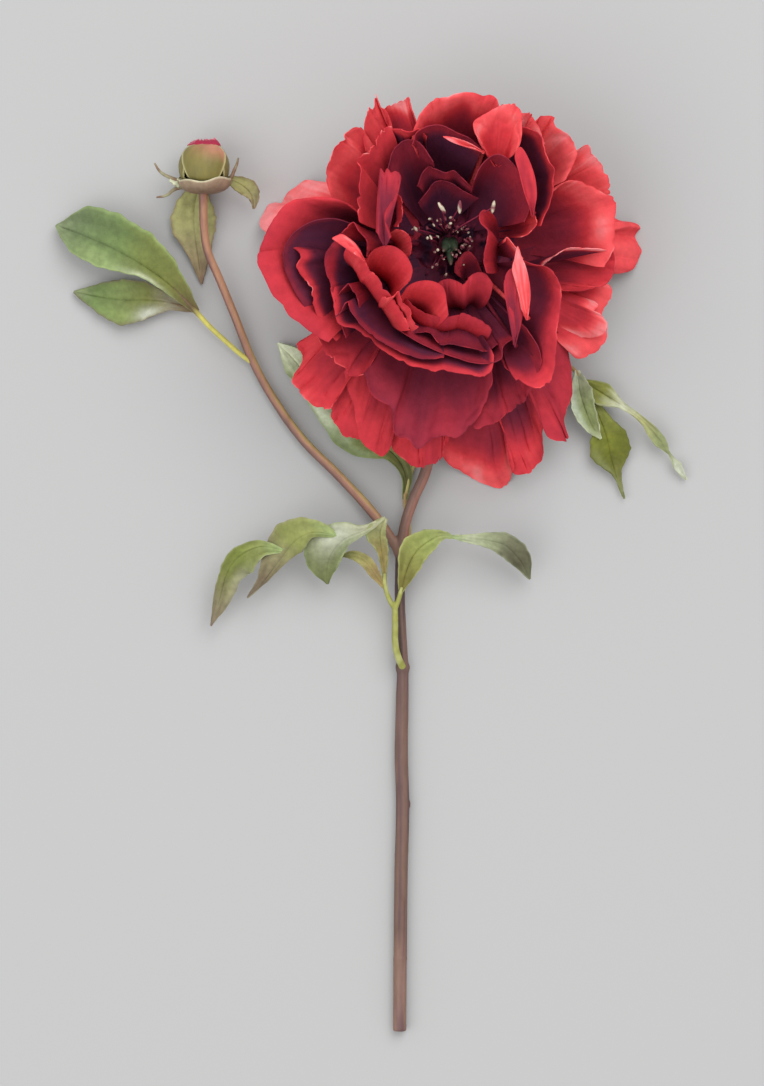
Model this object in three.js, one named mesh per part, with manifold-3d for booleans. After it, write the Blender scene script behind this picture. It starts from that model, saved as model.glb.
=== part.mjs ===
// A cut peony stem, laid on a surface and seen from above: one open red bloom, one bud on a side
// branch and three compound leaves. Millimetres, +Z up. The surface is z = 0, the stem runs along +Y
// and the bloom faces +Z.
import * as THREE from 'three';
import { mergeVertices } from 'three/addons/utils/BufferGeometryUtils.js';
import Module from 'manifold-3d';

const wasm = await Module();
wasm.setup();

// Driving dimensions.
const PETAL_THICKNESS = 0.7;
const LEAF_THICKNESS = 0.7;
const FACET_ALLOWANCE = 0.4;              // added to a leaf's half width, as its faces cut inside its curve
const GAP = 0.35;                         // kept between a piece and its neighbour
const STEM_RADIUS = 2.75;                 // below the leaf node
const UPPER_STEM_RADIUS = 2.15;           // from the leaf node to the fork
const BLOOM_BRANCH_RADIUS = 2.3;
const BUD_BRANCH_RADIUS = 1.75;
const BLOOM_CENTRE = new THREE.Vector3(31.6, 126.6, 26);   // where the lowest petals meet
const CORE_TOP = 9;                       // over the bloom's centre
const BUD_CENTRE = new THREE.Vector3(-66.2, 158.2, 13.6);
const BUD_RADIUS = 8.7;                   // of the ball inside the bud's petals
const VIEWPOINT = new THREE.Vector3(4.8, 8, 2210);   // petal outlines are plan views from here
const VIEW_DISTANCE = 2200;

// Closed shapes ----------------------------------------------------------------------------------

function toSolid(geometry) {
  const bare = geometry.clone();
  bare.deleteAttribute('normal');
  bare.deleteAttribute('uv');
  const merged = mergeVertices(bare, 1e-5);
  return new wasm.Manifold(new wasm.Mesh({
    numProp: 3,
    vertProperties: new Float32Array(merged.attributes.position.array),
    triVerts: new Uint32Array(merged.index.array),
  }));
}

function toGeometry(solid) {
  const mesh = solid.getMesh();
  const geometry = new THREE.BufferGeometry();
  geometry.setAttribute('position', new THREE.BufferAttribute(mesh.vertProperties, 3));
  geometry.setIndex(new THREE.BufferAttribute(mesh.triVerts, 1));
  geometry.computeVertexNormals();
  return geometry;
}

const join = (solids) => solids.reduce((sum, solid) => sum.add(solid));

// The largest body of a solid, with any scraps that a cut left dropped.
function largest(solid) {
  return solid.decompose().reduce((best, body) => (body.volume() > best.volume() ? body : best));
}

// Cuts a solid flat at the surface, so that what rests there has a flat spot.
const restOnSurface = (solid) => solid.trimByPlane([0, 0, 1], 0);

const route = (points) => new THREE.CatmullRomCurve3(
  points.map((p) => new THREE.Vector3(...p)), false, 'catmullrom', 0.5);

// A value that follows a list of numbers as a route follows its points.
const along = (values, t) => route(values.map((value) => [value, 0, 0])).getPoint(t).x;

// A round tube on a route, closed at both ends, whose radius follows a list.
function tube(points, radii, steps, sides = 8) {
  const path = route(points);
  const frames = path.computeFrenetFrames(steps, false);
  const geometry = new THREE.CylinderGeometry(1, 1, 1, sides, steps);
  const position = geometry.attributes.position;
  for (let i = 0; i < position.count; i += 1) {
    const step = Math.round((position.getY(i) + 0.5) * steps);
    const radius = along(radii, step / steps);
    const point = path.getPointAt(step / steps)
      .addScaledVector(frames.binormals[step], position.getX(i) * radius)
      .addScaledVector(frames.normals[step], position.getZ(i) * radius);
    position.setXYZ(i, point.x, point.y, point.z);
  }
  return toSolid(geometry);
}

// A round body turned about the upright axis from a profile of radii and heights.
function turned(profile, sides) {
  const points = profile.map(([radius, height]) => new THREE.Vector2(radius, height));
  return toSolid(new THREE.LatheGeometry(points, sides).rotateX(Math.PI / 2));
}

// An egg-shaped knob.
function knob(centre, radii, columns = 8, rows = 4) {
  const geometry = new THREE.SphereGeometry(1, columns, rows);
  geometry.scale(...radii).translate(...centre);
  return toSolid(geometry);
}

// A thin blade of even thickness round the surface that place(u, v) gives, with u from -1 to 1 across
// and v from 0 to 1 along. Both faces are divided into triangles alike.
function blade(place, [columns, rows], thickness) {
  const middle = new THREE.PlaneGeometry(2, 1, columns, rows);
  const position = middle.attributes.position;
  const count = position.count;
  for (let i = 0; i < count; i += 1) {
    const point = place(position.getX(i), position.getY(i) + 0.5);
    position.setXYZ(i, point.x, point.y, point.z);
  }
  middle.computeVertexNormals();
  const normal = middle.attributes.normal;
  const vertices = [];
  for (const side of [0.5, -0.5]) {
    for (let i = 0; i < count; i += 1) {
      vertices.push(
        position.getX(i) + normal.getX(i) * thickness * side,
        position.getY(i) + normal.getY(i) * thickness * side,
        position.getZ(i) + normal.getZ(i) * thickness * side);
    }
  }
  const faces = [...middle.index.array];
  for (let i = 0; i < middle.index.count; i += 3) {
    const [a, b, c] = middle.index.array.slice(i, i + 3);
    faces.push(a + count, c + count, b + count);
  }
  const across = columns + 1;
  const rim = [];
  for (let row = 0; row < rows; row += 1) rim.push(row * across);
  for (let column = 0; column < columns; column += 1) rim.push(rows * across + column);
  for (let row = rows; row > 0; row -= 1) rim.push(row * across + columns);
  for (let column = columns; column > 0; column -= 1) rim.push(column);
  rim.forEach((a, i) => {
    const b = rim[(i + 1) % rim.length];
    faces.push(b, a, a + count, b, a + count, b + count);
  });
  const geometry = new THREE.BufferGeometry();
  geometry.setAttribute('position', new THREE.Float32BufferAttribute(vertices, 3));
  geometry.setIndex(faces);
  return toSolid(geometry);
}

// Petals -----------------------------------------------------------------------------------------

// A number from 0 to 1 that is always the same for the same seed.
function chance(seed) {
  const value = Math.sin(seed * 127.1 + 311.7) * 43758.5453;
  return value - Math.floor(value);
}

const radians = THREE.MathUtils.degToRad;

// The surface of a cupped petal round an upright axis through the origin, on a spine of radii and
// heights, with its width and the angle that it cups across.
function cupSurface({ azimuth, spine, width, cup, ruffle, seed }) {
  const path = route(spine.map(([radius, height]) => [radius, height, 0]));
  path.arcLengthDivisions = 120;
  const phase = (k) => chance(seed * 7 + k) * 2 * Math.PI;
  const bend = radians(cup) / width;
  const angle = radians(azimuth);
  return (u, v) => {
    const side = Math.abs(u);
    const reach = 1 - 0.20 * side ** 3.5
      + 0.030 * Math.sin(u * 3.4 + phase(0)) + 0.018 * Math.sin(u * 8 + phase(1));
    const ell = v * reach;
    const at = Math.min(ell, 1);
    const point = path.getPointAt(at);
    const tangent = path.getTangentAt(at);
    point.addScaledVector(tangent, (ell - at) * path.getLength());
    const half = (width / 2) * (0.20 + 0.80 * Math.sin((Math.min(ell / 0.66, 1) * Math.PI) / 2) ** 1.15)
      * (1 - 0.16 * THREE.MathUtils.clamp((ell - 0.66) / 0.34, 0, 1) ** 2);
    const turn = u * half * bend;
    const across = Math.sin(turn) / bend;
    const wave = ruffle * ell ** 1.6 * (0.25 + 0.75 * side ** 1.5)
      * (Math.sin(u * 3.8 + phase(4) + ell * 2) + 0.5 * Math.sin(ell * 6.2 * Math.sign(u) + phase(5)));
    const inward = (1 - Math.cos(turn)) / bend + wave;
    const radius = point.x - tangent.y * inward;
    return new THREE.Vector3(
      radius * Math.cos(angle) - across * Math.sin(angle),
      radius * Math.sin(angle) + across * Math.cos(angle),
      point.y + tangent.x * inward);
  };
}

const cuppedPetal = (form, grid) => blade(cupSurface(form), grid, PETAL_THICKNESS);

// Leaves -----------------------------------------------------------------------------------------

// A leaflet follows a spine of points, with the width on each side of it at each point. It is folded
// up along its spine, in degrees, and its edges wave.
function leaflet({ spine, left, right, fold, wave, seed }, grid = [4, 5]) {
  const path = route(spine);
  const upright = new THREE.Vector3(0, 0, 1);
  return blade((u, v) => {
    const point = path.getPoint(v);
    const tangent = path.getTangent(v);
    const side = new THREE.Vector3().crossVectors(upright, tangent).normalize();
    const face = new THREE.Vector3().crossVectors(tangent, side);
    const width = Math.max(along(u < 0 ? left : right, v), 0.2) + FACET_ALLOWANCE * Math.sin(Math.PI * v);
    const reach = width * Math.abs(u);
    const lift = radians(fold);
    const ripple = wave * Math.abs(u) ** 1.5 * Math.sin(v * 11 + (u < 0 ? 0 : 2) + chance(seed) * 6);
    return point
      .addScaledVector(side, -Math.sign(u) * reach * Math.cos(lift))
      .addScaledVector(face, reach * Math.sin(lift) + ripple);
  }, grid, LEAF_THICKNESS);
}

// A leaflet with the short stalk that joins it to what carries it.
function stalkedLeaflet(form) {
  const path = route(form.spine);
  const stalk = [0, 0.16].map((t) => path.getPoint(t).toArray());
  return leaflet(form).add(tube(stalk, [0.8, 0.5], 1, 4));
}

// The stem and its two branches ------------------------------------------------------------------

const MAIN_STEM = [
  [11.9, -188, 2.45], [12.1, -158.8, 2.45], [12.5, -122.8, 2.45], [13.1, -96.8, 2.45],
  [12.6, -78.8, 2.5], [12.9, -54.8, 2.9], [13.1, -42, 3.4], [12.7, -30.8, 4], [12, -14.8, 4.8],
  [12.3, 6, 5.8]];
const BLOOM_BRANCH = [
  [12.3, 2, 5.6], [14, 15.2, 6.3], [17.3, 25.2, 7], [22.4, 37.2, 7.6], [25.8, 58, 8.4], [28, 80, 9],
  [30.4, 103, 9.6], [31.4, 117.6, 11.5], [31.6, 125.8, 17], [31.6, 126.6, 23]];
const BUD_BRANCH = [
  [12.2, 4, 5.6], [2.8, 17.9, 5], [-12.4, 34.8, 4.2], [-26.5, 48.9, 3.6], [-38.2, 65, 3.4],
  [-47.1, 81.1, 3.8], [-54.3, 99.1, 4.8], [-60.6, 114.4, 6.6], [-65.1, 125.2, 8.6], [-66.4, 135.2, 11],
  [-66.6, 148.8, 13.4]];

// The tubes of the stem, with a clearance added all round where they cut their neighbours.
function stemSolid(clearance = 0) {
  const grown = (radii) => radii.map((radius) => radius + clearance);
  return join([
    tube(MAIN_STEM, grown([STEM_RADIUS, STEM_RADIUS, STEM_RADIUS, UPPER_STEM_RADIUS, UPPER_STEM_RADIUS]), 10),
    tube(BLOOM_BRANCH, grown([UPPER_STEM_RADIUS, BLOOM_BRANCH_RADIUS, BLOOM_BRANCH_RADIUS]), 12),
    tube(BUD_BRANCH, grown([UPPER_STEM_RADIUS, BUD_BRANCH_RADIUS, BUD_BRANCH_RADIUS]), 12),
    knob([13, -42, 3.4], [3 + clearance, 3.4 + clearance, 2.9 + clearance]),
    knob([11.9, 5, 5.6], [2.9 + clearance, 3.6 + clearance, 2.7 + clearance]),
    knob([15.3, -96.8, 3.4], [1.3 + clearance, 1.8 + clearance, 1.3 + clearance]),
  ]);
}

const stemClearance = stemSolid(GAP);

// The leaf on the bud's branch: two leaflets on a yellow stalk.
function budBranchLeaf() {
  const stalk = [[-46, 79.5, 3.9], [-51, 83, 4], [-58, 89, 4.6], [-64, 94.5, 5.2], [-70, 101, 5.6]];
  const large = {
    spine: [[-69.5, 100.5, 5.6], [-78.9, 110.2, 8.5], [-89.6, 118.2, 11], [-102.2, 125.4, 11],
      [-115.4, 131.4, 7.5], [-126, 135.4, 3.5]],
    left: [1, 3.5, 4.7, 9, 8.5, 0.4],
    right: [1.4, 6.3, 11.7, 13.5, 12, 0.4],
    fold: 14, wave: 0.8, seed: 3,
  };
  const small = {
    spine: [[-69.5, 101, 5.2], [-80, 104.5, 4.2], [-90, 105.5, 4], [-100, 105.5, 3.8], [-110, 107, 3],
      [-119, 108.8, 2]],
    left: [0.8, 3.5, 8, 10, 5.5, 0.3],
    right: [0.8, 2.5, 7, 8.3, 5, 0.3],
    fold: 8, wave: 0.6, seed: 5,
  };
  return join([tube(stalk, [1, 1.1], 6, 6), stalkedLeaflet(large), stalkedLeaflet(small)]);
}

// The lower leaf: its stalk crosses over the stem, and its leaflets arch over and droop.
function lowerLeaf() {
  const stalk = [[13.2, -42, 5], [11.4, -38, 7.6], [10.2, -33, 8.9], [10.1, -24, 9.8], [10, -17.5, 10.6]];
  const leftArm = [[10, -18.5, 10.5], [7.5, -14, 11.5], [6, -9, 12.3], [5.8, -4, 13.2]];
  const rightArm = [[10, -18.5, 10.5], [11.6, -14, 11.4], [12.8, -9.5, 12.4]];
  const leaflets = [
    { // the folded base of the middle leaflet
      spine: [[5.8, -4, 13.2], [4.6, 5, 15.6], [4.2, 12, 17], [6, 18, 18]],
      left: [1, 2.2, 6.5, 1.5], right: [1, 3, 2.4, 1], fold: 25, wave: 0.2, seed: 7,
    },
    { // the middle leaflet, arched over to the left
      spine: [[6, 18, 18], [-2, 13, 20.5], [-10, 9.5, 21.5], [-15, 4, 19.5], [-17, -2, 16],
        [-17, -8.4, 12.5]],
      left: [0.6, 1.5, 3, 4.5, 3.8, 0.4], right: [0.6, 2.5, 8, 12, 9, 0.4], fold: -14, wave: 0.6, seed: 9,
    },
    { // the next one out
      spine: [[-13, 11, 20.5], [-23, 12, 21], [-30, 8.5, 20.5], [-36, 1, 18], [-42, -7, 14.5],
        [-49, -13.8, 11]],
      left: [1, 2, 5, 2.6, 1, 0.2], right: [1.5, 6, 9.5, 8, 3.5, 0.2], fold: -12, wave: 0.6, seed: 11,
    },
    { // the outermost one
      spine: [[-34, 5, 18.8], [-44, 6.6, 18.5], [-53, 2, 17], [-57.5, -5, 14.8], [-60, -14, 11.8],
        [-63.6, -25.2, 9]],
      left: [0.8, 5, 8.5, 6.5, 4.7, 0.2], right: [0.6, 2.6, 4, 3, 2.7, 0.2], fold: -14, wave: 0.5, seed: 13,
    },
    { // the small leaflet
      spine: [[5.8, -10, 12], [1.5, -4, 13.6], [-2, 0.5, 14.2], [-7, 3, 13.8], [-12, 2.8, 12.4]],
      left: [0.5, 2, 2.2, 1.6, 0.2], right: [0.5, 2.5, 2.8, 2, 0.2], fold: 16, wave: 0.3, seed: 15,
    },
    { // the right leaflet up to its twist
      spine: [[12.4, -11, 12.2], [15, -2, 14.4], [18.5, 4.5, 16], [24, 9, 17], [29, 11, 16.6],
        [33.4, 10.3, 15.6]],
      left: [1, 4, 7, 5, 2, 0.5], right: [1, 4.6, 5, 4, 1.8, 0.5], fold: 14, wave: 0.5, seed: 17,
    },
    { // and beyond it
      spine: [[32.6, 10.5, 15.8], [40, 9.8, 16.2], [47, 9, 16.6], [54, 7, 15.8], [60, 1, 12.8],
        [64, -6.4, 9]],
      left: [0.5, 1.8, 3.3, 5, 5, 0.4], right: [0.5, 2, 3, 4.6, 3.6, 0.4], fold: -10, wave: 0.5, seed: 19,
    },
  ];
  return join([tube(stalk, [1.3, 1.15], 6, 6), tube(leftArm, [1, 0.8], 3, 5), tube(rightArm, [1, 0.8], 2, 5),
    ...leaflets.map(stalkedLeaflet)]);
}

// The upper leaf, flat on the surface under the bloom: a long leaflet on the left and three on the
// right, on stalks that part under the bloom's branch.
function upperLeaf() {
  const stalk = [[13.4, 3, 3.2], [15.3, 9, 2.1], [15.4, 16, 1.7], [14.2, 23, 1.9], [14, 28, 2.4]];
  const rightStalk = [[14, 26, 2.2], [18, 40, 2.4], [33, 60, 3], [60, 76, 4.4], [79, 79, 6], [86, 72, 6.4]];
  const leaflets = [
    {
      spine: [[14, 25.5, 2.4], [14, 36, 3.2], [8, 45, 3.8], [-4, 51, 4.2], [-13, 60, 4.4], [-22, 71, 4.2],
        [-30, 81, 3.8], [-37, 88.3, 2.8]],
      left: [1, 1.8, 4.2, 8.5, 8, 6, 5.5, 0.3], right: [1, 3, 5, 7, 8, 8, 5.5, 0.3],
      fold: 8, wave: 0.5, seed: 21,
    },
    {
      spine: [[83, 77, 6.2], [84, 69, 8], [86, 62, 8], [89, 55, 7], [92.5, 49.7, 6]],
      left: [1, 5, 4.5, 3, 0.3], right: [1, 4, 5.5, 3.5, 0.3], fold: 22, wave: 0.5, seed: 23,
    },
    {
      spine: [[86, 72, 6], [92, 58, 4.6], [95, 50, 4.6], [96.5, 43, 4.2], [98.5, 36, 3], [102, 25.8, 1.6]],
      left: [1, 4, 8, 8, 2.6, 0.2], right: [1, 3.5, 7, 7.5, 1.6, 0.2], fold: 8, wave: 0.6, seed: 25,
    },
    {
      spine: [[85, 73, 6.2], [93, 68, 7], [101, 63, 7], [109, 57.5, 6], [116, 49.5, 5], [120, 43.8, 4],
        [123.5, 38.5, 3], [127, 33.4, 2]],
      left: [1, 4.5, 1.6, 1.2, 2.4, 0.5, 1.8, 0.2], right: [1, 5, 1.5, 1.5, 3, 0.5, 1.6, 0.2],
      fold: 14, wave: 0.4, seed: 27,
    },
  ];
  return join([tube(stalk, [1, 1], 5, 6), tube(rightStalk, [1, 0.9], 9, 5), ...leaflets.map(stalkedLeaflet)]);
}

// The bloom --------------------------------------------------------------------------------------

// The core that the petals are glued round, as radii and heights over the bloom's centre.
const CORE_PROFILE = [[0, -2], [8, -2], [27, 4], [28, 12], [22, 14], [7, CORE_TOP], [0, CORE_TOP]];
const PETAL_START = 0.1;                  // the share of a petal that the core hides, left out
const FOOT_SPREAD = 0.12;                 // a petal's width at its foot, as a share of its rim's

// The petals, from the skirt to the middle. Places are from the bloom's centre, in plan as they look
// from the viewpoint. Each petal has its foot with its height, the height of its rim and how far the
// rim's ends fall below that, the bulge of its belly in plan, how far back its lip rolls (a share of
// its length) and how high, the arch of its belly, and its rim from end to end. The skirt's longest
// three droop on to the surface.
const PETALS = {
  skirtRight: { foot: [14, 1, 0], height: -27, fall: -18, lip: [0.12, 6], arch: 10,
    rim: [[58, 18], [67.5, 11.5], [72, 10.5], [77, 7.5], [75, 4], [77, -1], [76, -6], [73, -9],
      [66, -10.5], [56, -8]] },
  skirtLow: { foot: [3, -14, 0], height: -27, fall: -18, lip: [0.12, 6], arch: 14,
    rim: [[-8, -74], [-3, -83], [3, -89], [12, -94], [21, -96.3], [25, -91.5], [27, -80], [26, -68]] },
  skirtLowRight: { foot: [8, -12, 0], height: -12, fall: -8, lip: [0.1, 4], arch: 8,
    rim: [[22, -74], [25, -85], [26, -90.5], [31, -90.5], [36, -86], [38, -78], [38.5, -68]] },
  skirtLowPoint: { foot: [12, -12, 1], height: -2, fall: -10, lip: [0.1, 4], arch: 8,
    rim: [[42, -33], [46, -35], [48, -42], [49, -50], [49.5, -57], [48, -63], [46.5, -69], [48.2, -76],
      [45.8, -75.6], [46.2, -78], [39.5, -76.8], [36, -68], [32, -60]] },
  skirtLowLeft: { foot: [-4, -13, 0], height: -4, fall: -6, lip: [0.09, 3], arch: 8,
    rim: [[-26, -72], [-23, -81], [-18, -86.5], [-12, -89], [-8, -88.5], [-3, -85], [0, -80], [4, -72]] },
  skirtLowLeftStrip: { foot: [-9, -12, 1], height: 2, fall: -4, lip: [0.09, 3], arch: 8,
    rim: [[-42, -50], [-39, -62], [-37, -72], [-35.5, -77], [-31, -82], [-27, -84], [-24.5, -82],
      [-22, -75], [-22, -64]] },
  skirtLeftLow: { foot: [-12, -9, 0], height: -2, fall: -8, lip: [0.11, 5], arch: 10,
    rim: [[-46, -34], [-54, -35.5], [-60, -40], [-59, -45], [-62, -52], [-60, -58], [-55.5, -64],
      [-48, -65], [-44, -60]] },
  skirtLeftLowStrip: { foot: [-11, -11, 0], height: -4, fall: -6, lip: [0.09, 3], arch: 8,
    rim: [[-52, -56], [-48, -64], [-46, -70], [-41, -75.5], [-36, -77], [-32, -75], [-30, -66]] },
  skirtLeft: { foot: [-13, 3, 0], height: -27, fall: -20, lip: [0.12, 6], arch: 10,
    rim: [[-64, 0], [-72, 5], [-76, 10], [-73.5, 15], [-69, 17.6], [-66, 17.3], [-64.5, 21], [-60, 24.2],
      [-55, 25.8], [-47, 25], [-40, 20]] },
  guardLeftUp: { foot: [-11, 9, 2], height: 26, fall: 6, lip: [0.07, 2],
    rim: [[-44, 12], [-48.5, 24], [-49, 31], [-47.5, 36.5], [-44.5, 40.3], [-41.2, 42.5], [-41, 46],
      [-37.5, 48.2], [-34.5, 46], [-33, 38]] },
  guardUpPoint: { foot: [-8, 12, 2], height: 20, fall: 4, lip: [0.07, 2],
    rim: [[-37, 36], [-34, 46], [-33, 52], [-31.3, 56], [-29.8, 55], [-29.3, 61.5], [-28, 57.5],
      [-25.5, 54], [-24, 48], [-26, 40]] },
  guardUpPointRight: { foot: [-5, 13, 2], height: 16, fall: 4, lip: [0.07, 2],
    rim: [[-28, 44], [-26.5, 54.5], [-22, 57], [-18, 58], [-16.3, 59.6], [-15.3, 56], [-13, 50],
      [-12, 42]] },
  guardTop: { foot: [2, 13, 2], height: 38, fall: 4, bulge: [0, 2], lip: [0.18, 11], arch: -4,
    rim: [[-15, 40], [-13, 48], [-11.5, 53], [-9, 56], [-5, 59.6], [0, 60.4], [7, 62.4], [12, 61],
      [17, 60], [19.7, 57], [22, 48]] },
  guardTopRight: { foot: [6, 12, 2], height: 32, fall: 5, lip: [0.07, 2],
    rim: [[15, 46], [19.5, 56], [22, 58], [26.5, 57.3], [28, 54.5], [33, 53.5], [35, 51], [38, 42]] },
  guardRightTop: { foot: [9, 9, 2], height: 28, fall: 5, lip: [0.07, 2],
    rim: [[30, 42], [34.5, 50], [38, 52], [42.3, 52.2], [42.6, 49], [47, 45.5], [50, 40.3], [51, 36],
      [47, 27]] },
  guardRightUp: { foot: [11, 7, 2], height: 22, fall: 5, lip: [0.09, 3],
    rim: [[44, 26], [45, 32], [49, 37.3], [52, 38.6], [56, 40.3], [57, 37.6], [60, 35], [62.3, 31],
      [64, 26], [65, 21]] },
  guardRight: { foot: [13, 3, 3], height: 25, fall: 8, lip: [0.15, 6], arch: -6,
    rim: [[34, 20], [40, 21], [44.5, 24.5], [48, 26.5], [52, 26.2], [57, 24.5], [62, 21.5], [66, 19],
      [67, 14], [66.5, 7], [66, 0], [62, -8]] },
  pleatRight: { foot: [20, -10, 4], height: 24, fall: 5, lip: [0.07, 2], arch: -4,
    rim: [[36, -9], [39, -6.5], [42, -4], [46, -1.5], [51, -0.4], [57, -0.6], [63, -1.6]] },
  guardRightLow: { foot: [16, -8, 3], height: 14, fall: 2, lip: [0.07, 2], arch: -2,
    rim: [[56, 8], [62, 3], [66, -3], [66.2, -8], [65, -12], [62, -15.5], [57, -17], [52, -17.6],
      [46, -17.5], [40, -16]] },
  skirtRightLow: { foot: [14, -8, 1], height: 4, lip: [0.1, 4], arch: 6,
    rim: [[58, -13], [64.7, -15.5], [65, -20], [62.3, -24], [61, -27.5], [63.3, -31], [63, -36.5],
      [60, -41], [55, -44], [50, -44.2], [46, -38], [42, -30]] },
  guardLeft: { foot: [-13, -3, 4], height: 36, fall: 6, lip: [0.17, 11], arch: -6,
    rim: [[-36, 13], [-43, 18], [-50, 20], [-58, 19.5], [-64, 17.5], [-69, 12.5], [-73, 6], [-75.5, 0],
      [-76.5, -4.5], [-74.5, -10], [-70, -19], [-64.5, -27], [-59.5, -31], [-54, -35], [-48, -38]] },
  leftNestedOuter: { foot: [-12, -5, 6], height: 34, fall: 7, lip: [0.16, 4], arch: -4,
    rim: [[-58, 5], [-61, 3.4], [-62, 1.5], [-60.3, -1], [-59.3, -4], [-60.8, -8], [-58.4, -12.5],
      [-57, -18], [-55, -24], [-54, -30], [-50, -36], [-44, -38]] },
  leftNestedInner: { foot: [-12, -6, 6], height: 36, fall: 6, lip: [0.16, 3], arch: -2,
    rim: [[-46, 3], [-48, 0], [-49.5, -5], [-49, -11], [-47.5, -17], [-47.5, -20], [-46, -26], [-43, -33],
      [-40, -38]] },
  wallLeftLow: { foot: [-12, -8, 7], height: 45, fall: 4, bulge: [2, 2], lip: [0.26, 5], arch: -3,
    rim: [[-37.5, 8], [-41, 5.8], [-45.5, 4.8], [-43, 1.8], [-39.5, -1.2], [-38.6, -7], [-37.6, -11.5],
      [-34.6, -16.6], [-30.5, -20.7], [-25.4, -24.8], [-19.6, -28.9], [-14.4, -35]] },
  wallLow: { foot: [-5, -10, 6], height: 38, fall: 3, lip: [0.15, 8], arch: -4,
    rim: [[-48, -17], [-46.5, -24], [-44, -31], [-38, -32.5], [-34, -35.8], [-29, -40], [-22, -44.5],
      [-15, -48], [-8, -50], [0, -50.6], [8, -51.8], [13.5, -52.2], [17.5, -49.5], [18, -44]] },
  wallLowInner: { foot: [-7, -9, 6], height: 41, fall: 3, lip: [0.1, 3], arch: -2,
    rim: [[-45.5, -28], [-43.5, -26], [-41.5, -22], [-39.5, -25], [-37, -27.7], [-34, -32], [-30, -36.5],
      [-24, -40], [-17, -42.8], [-9, -44.6], [-2, -44]] },
  innerLowLeft: { foot: [-17, -19, 8], height: 40, fall: 2, bulge: [-8, -9], lip: [0.07, 2],
    rim: [[-27, -20], [-24, -20.5], [-22, -19.7], [-20, -18], [-18.5, -22], [-15.3, -25.6], [-14.7, -29],
      [-12, -32]] },
  innerLeft: { foot: [-22, -14, 8], height: 37, fall: 3, bulge: [-8, -8], lip: [0.09, 3],
    rim: [[-32, -5], [-30.5, -1.5], [-26, 0.4], [-21, -0.5], [-16.8, -4], [-14.5, -9], [-15.5, -13],
      [-18, -15.5]] },
  innerLow: { foot: [-12, -23, 8], height: 34, fall: 3, bulge: [-6, -9], lip: [0.09, 3],
    rim: [[-18, -18], [-16, -15.5], [-13, -14], [-9, -13.6], [-4, -15], [-1.5, -18], [-0.5, -23],
      [0, -27]] },
  innerLowRight: { foot: [6, -22, 8], height: 30, fall: 3, bulge: [0, -9], lip: [0.09, 3],
    rim: [[-5, -15], [-3, -13.7], [0, -13], [3, -13.8], [6, -14.8], [8.5, -12], [12, -10.3], [15, -11],
      [17.3, -14.5]] },
  innerRight: { foot: [22, -2, 8], height: 35, fall: 3, bulge: [8, -1], lip: [0.07, 2],
    rim: [[16, 14], [13.5, 14], [12.3, 12], [13, 9.5], [15.5, 7], [15, 3], [14.5, -1], [14.2, -6],
      [15.5, -11]] },
  innerLowOuter: { foot: [0, -24, 8], height: 30, fall: 2, bulge: [-1, -9], lip: [0.07, 2],
    rim: [[-18, -20], [-14, -24], [-8, -27], [-2, -28], [3, -27.4], [6, -26.6], [11, -28.5], [15, -31],
      [17, -33.5]] },
  wallRightLip: { foot: [12, -7, 6], height: 44, fall: 3, lip: [0.17, 10],
    rim: [[24, -3], [27, -3.5], [29.6, -3], [31.2, -9], [32.6, -16], [32.2, -22], [31, -27.7],
      [29, -31]] },
  wallRightLow: { foot: [9, -10, 5], height: 40, fall: 2, lip: [0.15, 9], arch: -4,
    rim: [[30, -6], [35, -7.5], [40, -8.6], [43.3, -12], [45.6, -17], [45.6, -22], [44.6, -28],
      [43.6, -33], [42.6, -40], [42, -48], [41.5, -53], [39, -55.6], [34, -56.6], [27, -54]] },
  rightNested: { foot: [8, -12, 6], height: 35, fall: 3, lip: [0.07, 2],
    rim: [[27, -30], [32, -34], [36, -40], [36.5, -47], [33, -53], [27, -51], [22, -48]] },
  guardLow: { foot: [-2, -13, 4], height: 24, fall: -2, lip: [0.1, 4], arch: 4,
    rim: [[-34, -50], [-30, -60], [-23.5, -66], [-23, -73], [-21.5, -76.5], [-16.5, -77], [-13, -81],
      [-8.5, -79.5], [-3.5, -76.5], [2, -77], [7, -74.5], [12, -69.5], [15, -63], [17, -55], [17, -48]] },
  guardLowRight: { foot: [6, -13, 4], height: 20, fall: -2, lip: [0.09, 3], arch: 4,
    rim: [[10, -74], [17, -71], [22, -67.7], [26, -64.8], [31.5, -61.5], [34, -57], [37, -52]] },
  guardLowLeft: { foot: [-12, -9, 4], height: 24, fall: 2, lip: [0.09, 3], arch: 2,
    rim: [[-50, -32], [-53, -36], [-50, -42], [-46, -47], [-41.5, -49.5], [-41, -51.7], [-37, -52.3],
      [-33, -50.5], [-30, -46]] },
  topArc: { foot: [-2, 12, 5], height: 42, fall: 3, bulge: [0, 2], lip: [0.05, 0],
    rim: [[-15, 41], [-13.5, 45], [-9.5, 47.6], [-5, 48.4], [0, 47.6], [5, 45.2], [9, 42], [14, 38]] },
  topLobe: { foot: [-9, 9, 6], height: 37, fall: 3, lip: [0.07, 2], arch: 2,
    rim: [[-25, 26], [-24, 33], [-22.5, 38], [-20, 41], [-16.5, 42.7], [-12.5, 42], [-9, 38], [-6, 34]] },
  topSmall: { foot: [-2, 9, 7], height: 30, fall: 2, lip: [0.07, 2],
    rim: [[-12, 24], [-11, 28], [-8, 31.3], [-5, 30.6], [-1, 29], [3, 29.6], [6, 27.5], [10, 23]] },
  topRightLobe: { foot: [8, 8, 6], height: 43, fall: 3, lip: [0.07, 2], arch: 2,
    rim: [[12, 31], [15.5, 35], [19, 37.4], [23.5, 34.5], [27, 29], [30, 22.5], [32, 17], [30, 10]] },
  topRightLip: { foot: [20, 12, 7], height: 48, fall: 2, bulge: [12, 1], lip: [0.06, 1],
    rim: [[27.5, 40.5], [26.6, 36], [27.4, 31], [28.8, 26], [30.6, 20.5], [32.6, 15]] },
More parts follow.
